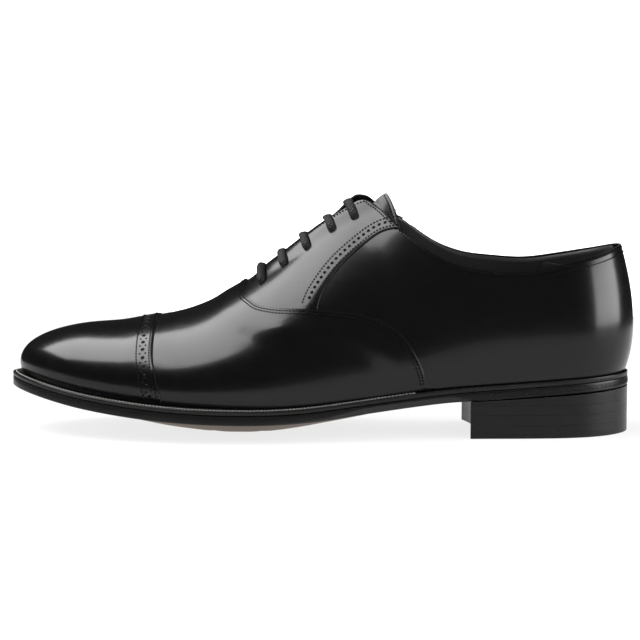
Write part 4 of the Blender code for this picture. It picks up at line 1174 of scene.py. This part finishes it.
def make_strip(name, node, stations, look):
    """The welt or the rand: a strip with rounded outer corners and a groove along its middle."""
    sections = [(-FLANGE, -WELT), (0.0, -WELT), ("rim", -WELT, .3), ("rim", -WELT + .3, 0), ("rim", -.35, 0),
                ("rim", -.1, .12), ("rim", 0, .4), ("rim", 0, 1.0), ("rim", -.16, 1.35), ("rim", -.16, 2.05),
                ("rim", 0, 2.4), (0.0, 0), (-FLANGE, 0)]
    bm = bmesh.new()
    path = [(-1, stations), (1, stations[-2::-1])]
    rings = []
    for section in sections:
        points = []
        for side, s in path:
            x = FEATHER[side](s)[..., 0]
            if section[0] == "rim":
                wide = smooth((sole_rim(side, x) - 1.4) / 2.5)
                level, out = section[1], sole_rim(side, x) - section[2] * (.35 + .65 * wide)
                level = level * (wide if -.3 < level < -.12 else 1)
            else:
                level, out = section[1], section[0] + 0 * x
            plan = rim(side, s, out)
            z = FEATHER_Z(np.clip(plan[:, 0], -150, 150)) - GAP + level
            points.append(np.concatenate([plan, z[:, None]], -1))
        rings.append(np.concatenate(points))
    grid = np.stack(rings + rings[:1])
    add_sheet(bm, grid)
    bmesh.ops.remove_doubles(bm, verts=bm.verts, dist=0.00002)
    bmesh.ops.holes_fill(bm, edges=[e for e in bm.edges if e.is_boundary], sides=0)
    bmesh.ops.recalc_face_normals(bm, faces=bm.faces)
    mesh = bpy.data.meshes.new(name)
    bm.to_mesh(mesh)
    bm.free()
    item = add_piece(name, mesh, [look["welt"]], BODY, [node])
    shade(item, 50)


def heel_plan(outset, front=None, rear=None):
    """The heel's outline from its concave breast round the back, or the part between two lines across."""
    stations = np.linspace(.285, 0, 60)
    sides = {k: rim(k, stations, outset + 0 * stations) for k in (-1, 1)}
    edge = np.concatenate([sides[-1], sides[1][-2::-1]])
    low = BREAST_X if front is None else front
    high = edge[:, 0].max() + 1 if rear is None else rear

    def crossing(part, x):
        order = np.argsort(part[:, 0])
        return np.array([x, np.interp(x, part[order, 0], part[order, 1])])

    inner = [p for p in edge if low + .5 < p[0] < high - .5]
    split = sum(1 for p in inner if p[1] < 0)
    plan = [crossing(edge[:60], low)] + inner[:split]
    if rear is not None:
        plan += [crossing(edge[:60], high), crossing(edge[59:], high)]
    plan += inner[split:] + [crossing(edge[59:], low)]
    if front is None:
        a, b = plan[-1], plan[0]
        plan += [a + (b - a) * t + np.array([BREAST_DEPTH * 4 * t * (1 - t), 0])
                 for t in np.linspace(0, 1, 25)[1:-1]]
    return plan


def plate(name, node, plan, lower, upper, faces):
    """A heel layer: the plan between two heights, its corners rounded."""
    bm = bmesh.new()
    face = bm.faces.new([bm.verts.new((x * MM, y * MM, 0)) for x, y in plan])
    made = bmesh.ops.extrude_face_region(bm, geom=[face])
    raised = {v for v in made["geom"] if isinstance(v, bmesh.types.BMVert)}
    for v in bm.verts:
        x = v.co.x / MM
        v.co.z = (upper(x) if v in raised else lower(x)) * MM
    bmesh.ops.recalc_face_normals(bm, faces=bm.faces)
    for f in bm.faces:
        f.material_index = 1 if f.normal.z < -.9 else 0
    mesh = bpy.data.meshes.new(name)
    bm.to_mesh(mesh)
    bm.free()
    item = add_piece(name, mesh, faces, BODY, [node])
    soft = item.modifiers.new("corner", "BEVEL")
    soft.width = 0.045 * MM
    soft.segments = 2
    soft.limit_method = "ANGLE"
    soft.angle_limit = math.radians(50)
    shade(item)


def make_heel(look):
    seat = -(WELT + 2 * GAP) - OUTSOLE - GAP
    ends = [BREAST_X, 148.0]
    under = [float(FEATHER_Z(x)) + seat for x in ends]
    base = TOP_PIECE + .02
    for index in range(3):
        lower = base + index * (LIFT + GAP)
        top = (lambda x, z=lower + LIFT + GAP - .02: z) if index < 2 else (lambda x: np.interp(x, ends, under))
        plate(f"heel_lift_leather_{3 - index}", f"heel_lift_{3 - index}", heel_plan(HEEL_RIM),
              lambda x, z=lower: z, top, [look["edge"], look["edge"]])
    plate("top_piece_front", "top_piece_leather", heel_plan(HEEL_RIM, rear=RUBBER_X - .1), lambda x: 0.0,
          lambda x: TOP_PIECE, [look["edge"], look["sole"]])
    plate("top_piece_tip", "top_piece_rubber", heel_plan(HEEL_RIM, front=RUBBER_X), lambda x: 0.0,
          lambda x: TOP_PIECE, [look["edge"], look["rubber"]])


# ---------------------------------------------------------------------------------------------------------
# The lace


def sweep(name, path, width, height, first_across, steps=16):
    """An oval cord along closely spaced points in mm, its flat way carried along without twist. Its UV map
    holds its length and girth in mm."""
    path = np.asarray(path, float)
    ahead = np.gradient(path, axis=0)
    ahead /= np.linalg.norm(ahead, axis=-1)[:, None]
    across = np.asarray(first_across, float)
    bm = bmesh.new()
    layer = bm.loops.layers.uv.new("cord")
    rings = []
    for i, point in enumerate(path):
        across = across - ahead[i] * np.dot(across, ahead[i])
        across = across / np.linalg.norm(across)
        up = np.cross(ahead[i], across)
        turns = [2 * math.pi * k / steps for k in range(steps)]
        oval = [(abs(math.cos(t)) ** .8 * math.copysign(1, math.cos(t)),
                 abs(math.sin(t)) ** .8 * math.copysign(1, math.sin(t))) for t in turns]
        rings.append([bm.verts.new((point + across * width[i] / 2 * a + up * height[i] / 2 * b) * MM)
                      for a, b in oval])
    reach = np.concatenate([[0], np.cumsum(np.linalg.norm(np.diff(path, axis=0), axis=1))])
    girth = 10.5 / steps
    for i in range(len(rings) - 1):
        for k in range(steps):
            n = (k + 1) % steps
            face = bm.faces.new((rings[i][k], rings[i][n], rings[i + 1][n], rings[i + 1][k]))
            for loop, (row, column) in zip(face.loops, ((i, k), (i, k + 1), (i + 1, k + 1), (i + 1, k))):
                loop[layer].uv = (reach[row], column * girth)
    bm.faces.new(rings[0][::-1])
    bm.faces.new(rings[-1])
    bmesh.ops.recalc_face_normals(bm, faces=bm.faces)
    mesh = bpy.data.meshes.new(name)
    bm.to_mesh(mesh)
    bm.free()
    mesh.shade_smooth()
    return mesh


def lace_keys():
    """The laced stretch's points and how wide and thick it is at each: flat outside, round inside."""
    start = skin(-1, *TAILS[-1][0][:2], TAILS[-1][0][2])
    keys = []
    side = -1
    inside, outside = (2.6, 2.5), LACE_FLAT
    for s, eyelet_v in reversed(EYELETS):
        v = eyelet_v - LACE_DROP
        lift = 1.3 * smooth((.47 - s) / .03)
        bar = [(v - .004, -2.4, (3.4, 2.6)), (v + .004, .8, outside), (v + (1 - v) * .24, 2.1 + lift / 2, outside),
               (v + (1 - v) * .62, 2.7 + lift, outside)]
        s += LACE_SHIFT
        keys.append((skin(side, s, v, LACE_DEPTH), inside))
        keys += [(skin(side, s + LEAN * (w - v), w, level), size) for w, level, size in bar]
        keys.append((skin(side, s + LEAN * (1 - v), 1.0, 2.5 + lift), outside))
        keys += [(skin(-side, s + LEAN * (w - v), w, level), size) for w, level, size in reversed(bar)]
        keys.append((skin(-side, s, v, LACE_DEPTH), inside))
        side = -side
    end = skin(1, *TAILS[1][0][:2], TAILS[1][0][2])
    first, final = keys[0][0], keys[-1][0]
    keys = [(first + (start - first) * .5, inside)] + keys + [(final + (end - final) * .5, inside)]
    return keys


LACE_FLAT = (4.3, 2.6)
LEAN = .015
LACE_SHIFT = -.0042
LACE_DROP = .014


def make_lace(look):
    keys = lace_keys()
    points = np.array([p for p, _ in keys])
    sizes = np.array([size for _, size in keys])
    reach = np.concatenate([[0], np.cumsum(np.linalg.norm(np.diff(points, axis=0), axis=1))])
    at = np.arange(0, reach[-1], .5)
    path = natural_spline(np.sqrt(1) * reach, points)(at)
    width = np.interp(at, reach, sizes[:, 0])
    height = np.interp(at, reach, sizes[:, 1])
    s, v = EYELETS[-1]
    ahead = skin(-1, s + .01, v, 0.0) - skin(-1, s, v, 0.0)
    mesh = sweep("lace_bars", path, width, height, ahead, 20)
    add_piece("lace_bars", mesh, [look["lace"]], BODY, ["lace"])
    ends = {-1: (points[0], points[1]), 1: (points[-1], points[-2])}
    for side, word in SIDES.items():
        end, before = ends[side]
        start = end + (end - before) / np.linalg.norm(end - before) * GAP
        route = np.array([start] + [skin(side, s, v, level) for s, v, level in TAILS[side]])
        reach = np.concatenate([[0], np.cumsum(np.linalg.norm(np.diff(route, axis=0), axis=1))])
        at = np.linspace(0, reach[-1], int(reach[-1] / .8))
        path = natural_spline(reach, route)(at)
        size = np.full(len(path), 2 * TAIL_RADIUS)
        mesh = sweep(f"lace_end_{word}", path, size, size, (0.1, 0.2, 1.0), 12)
        tail = add_piece(f"lace_end_{word}", mesh, [look["lace"]], BODY, [f"lace_tail_{word}"])


# ---------------------------------------------------------------------------------------------------------
# CAD nodes that keep their shape


def give_materials(look):
    kinds = {"heel_counter": "board", "toe_puff": "board", "insole": "insole", "insole_rib": "canvas",
             "shank": "steel", "cork_filler": "cork", "sock_lining": "lining", "aglet_lateral": "aglet",
             "aglet_medial": "aglet"}
    for name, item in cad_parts.items():
        kind = kinds.get(name)
        if name.startswith("eyelet"):
            kind = "enamel"
        elif name.startswith("heel_nail"):
            kind = "brass"
        if kind:
            item.data.materials.clear()
            item.data.materials.append(look[kind])


def main():
    make_camera()
    make_studio()
    look = make_materials()
    make_lace(look)
    make_uppers(look)
    make_linings(look)
    make_tongue(look)
    make_bottom(look)
    make_heel(look)
    make_details(look)
    give_materials(look)


main()
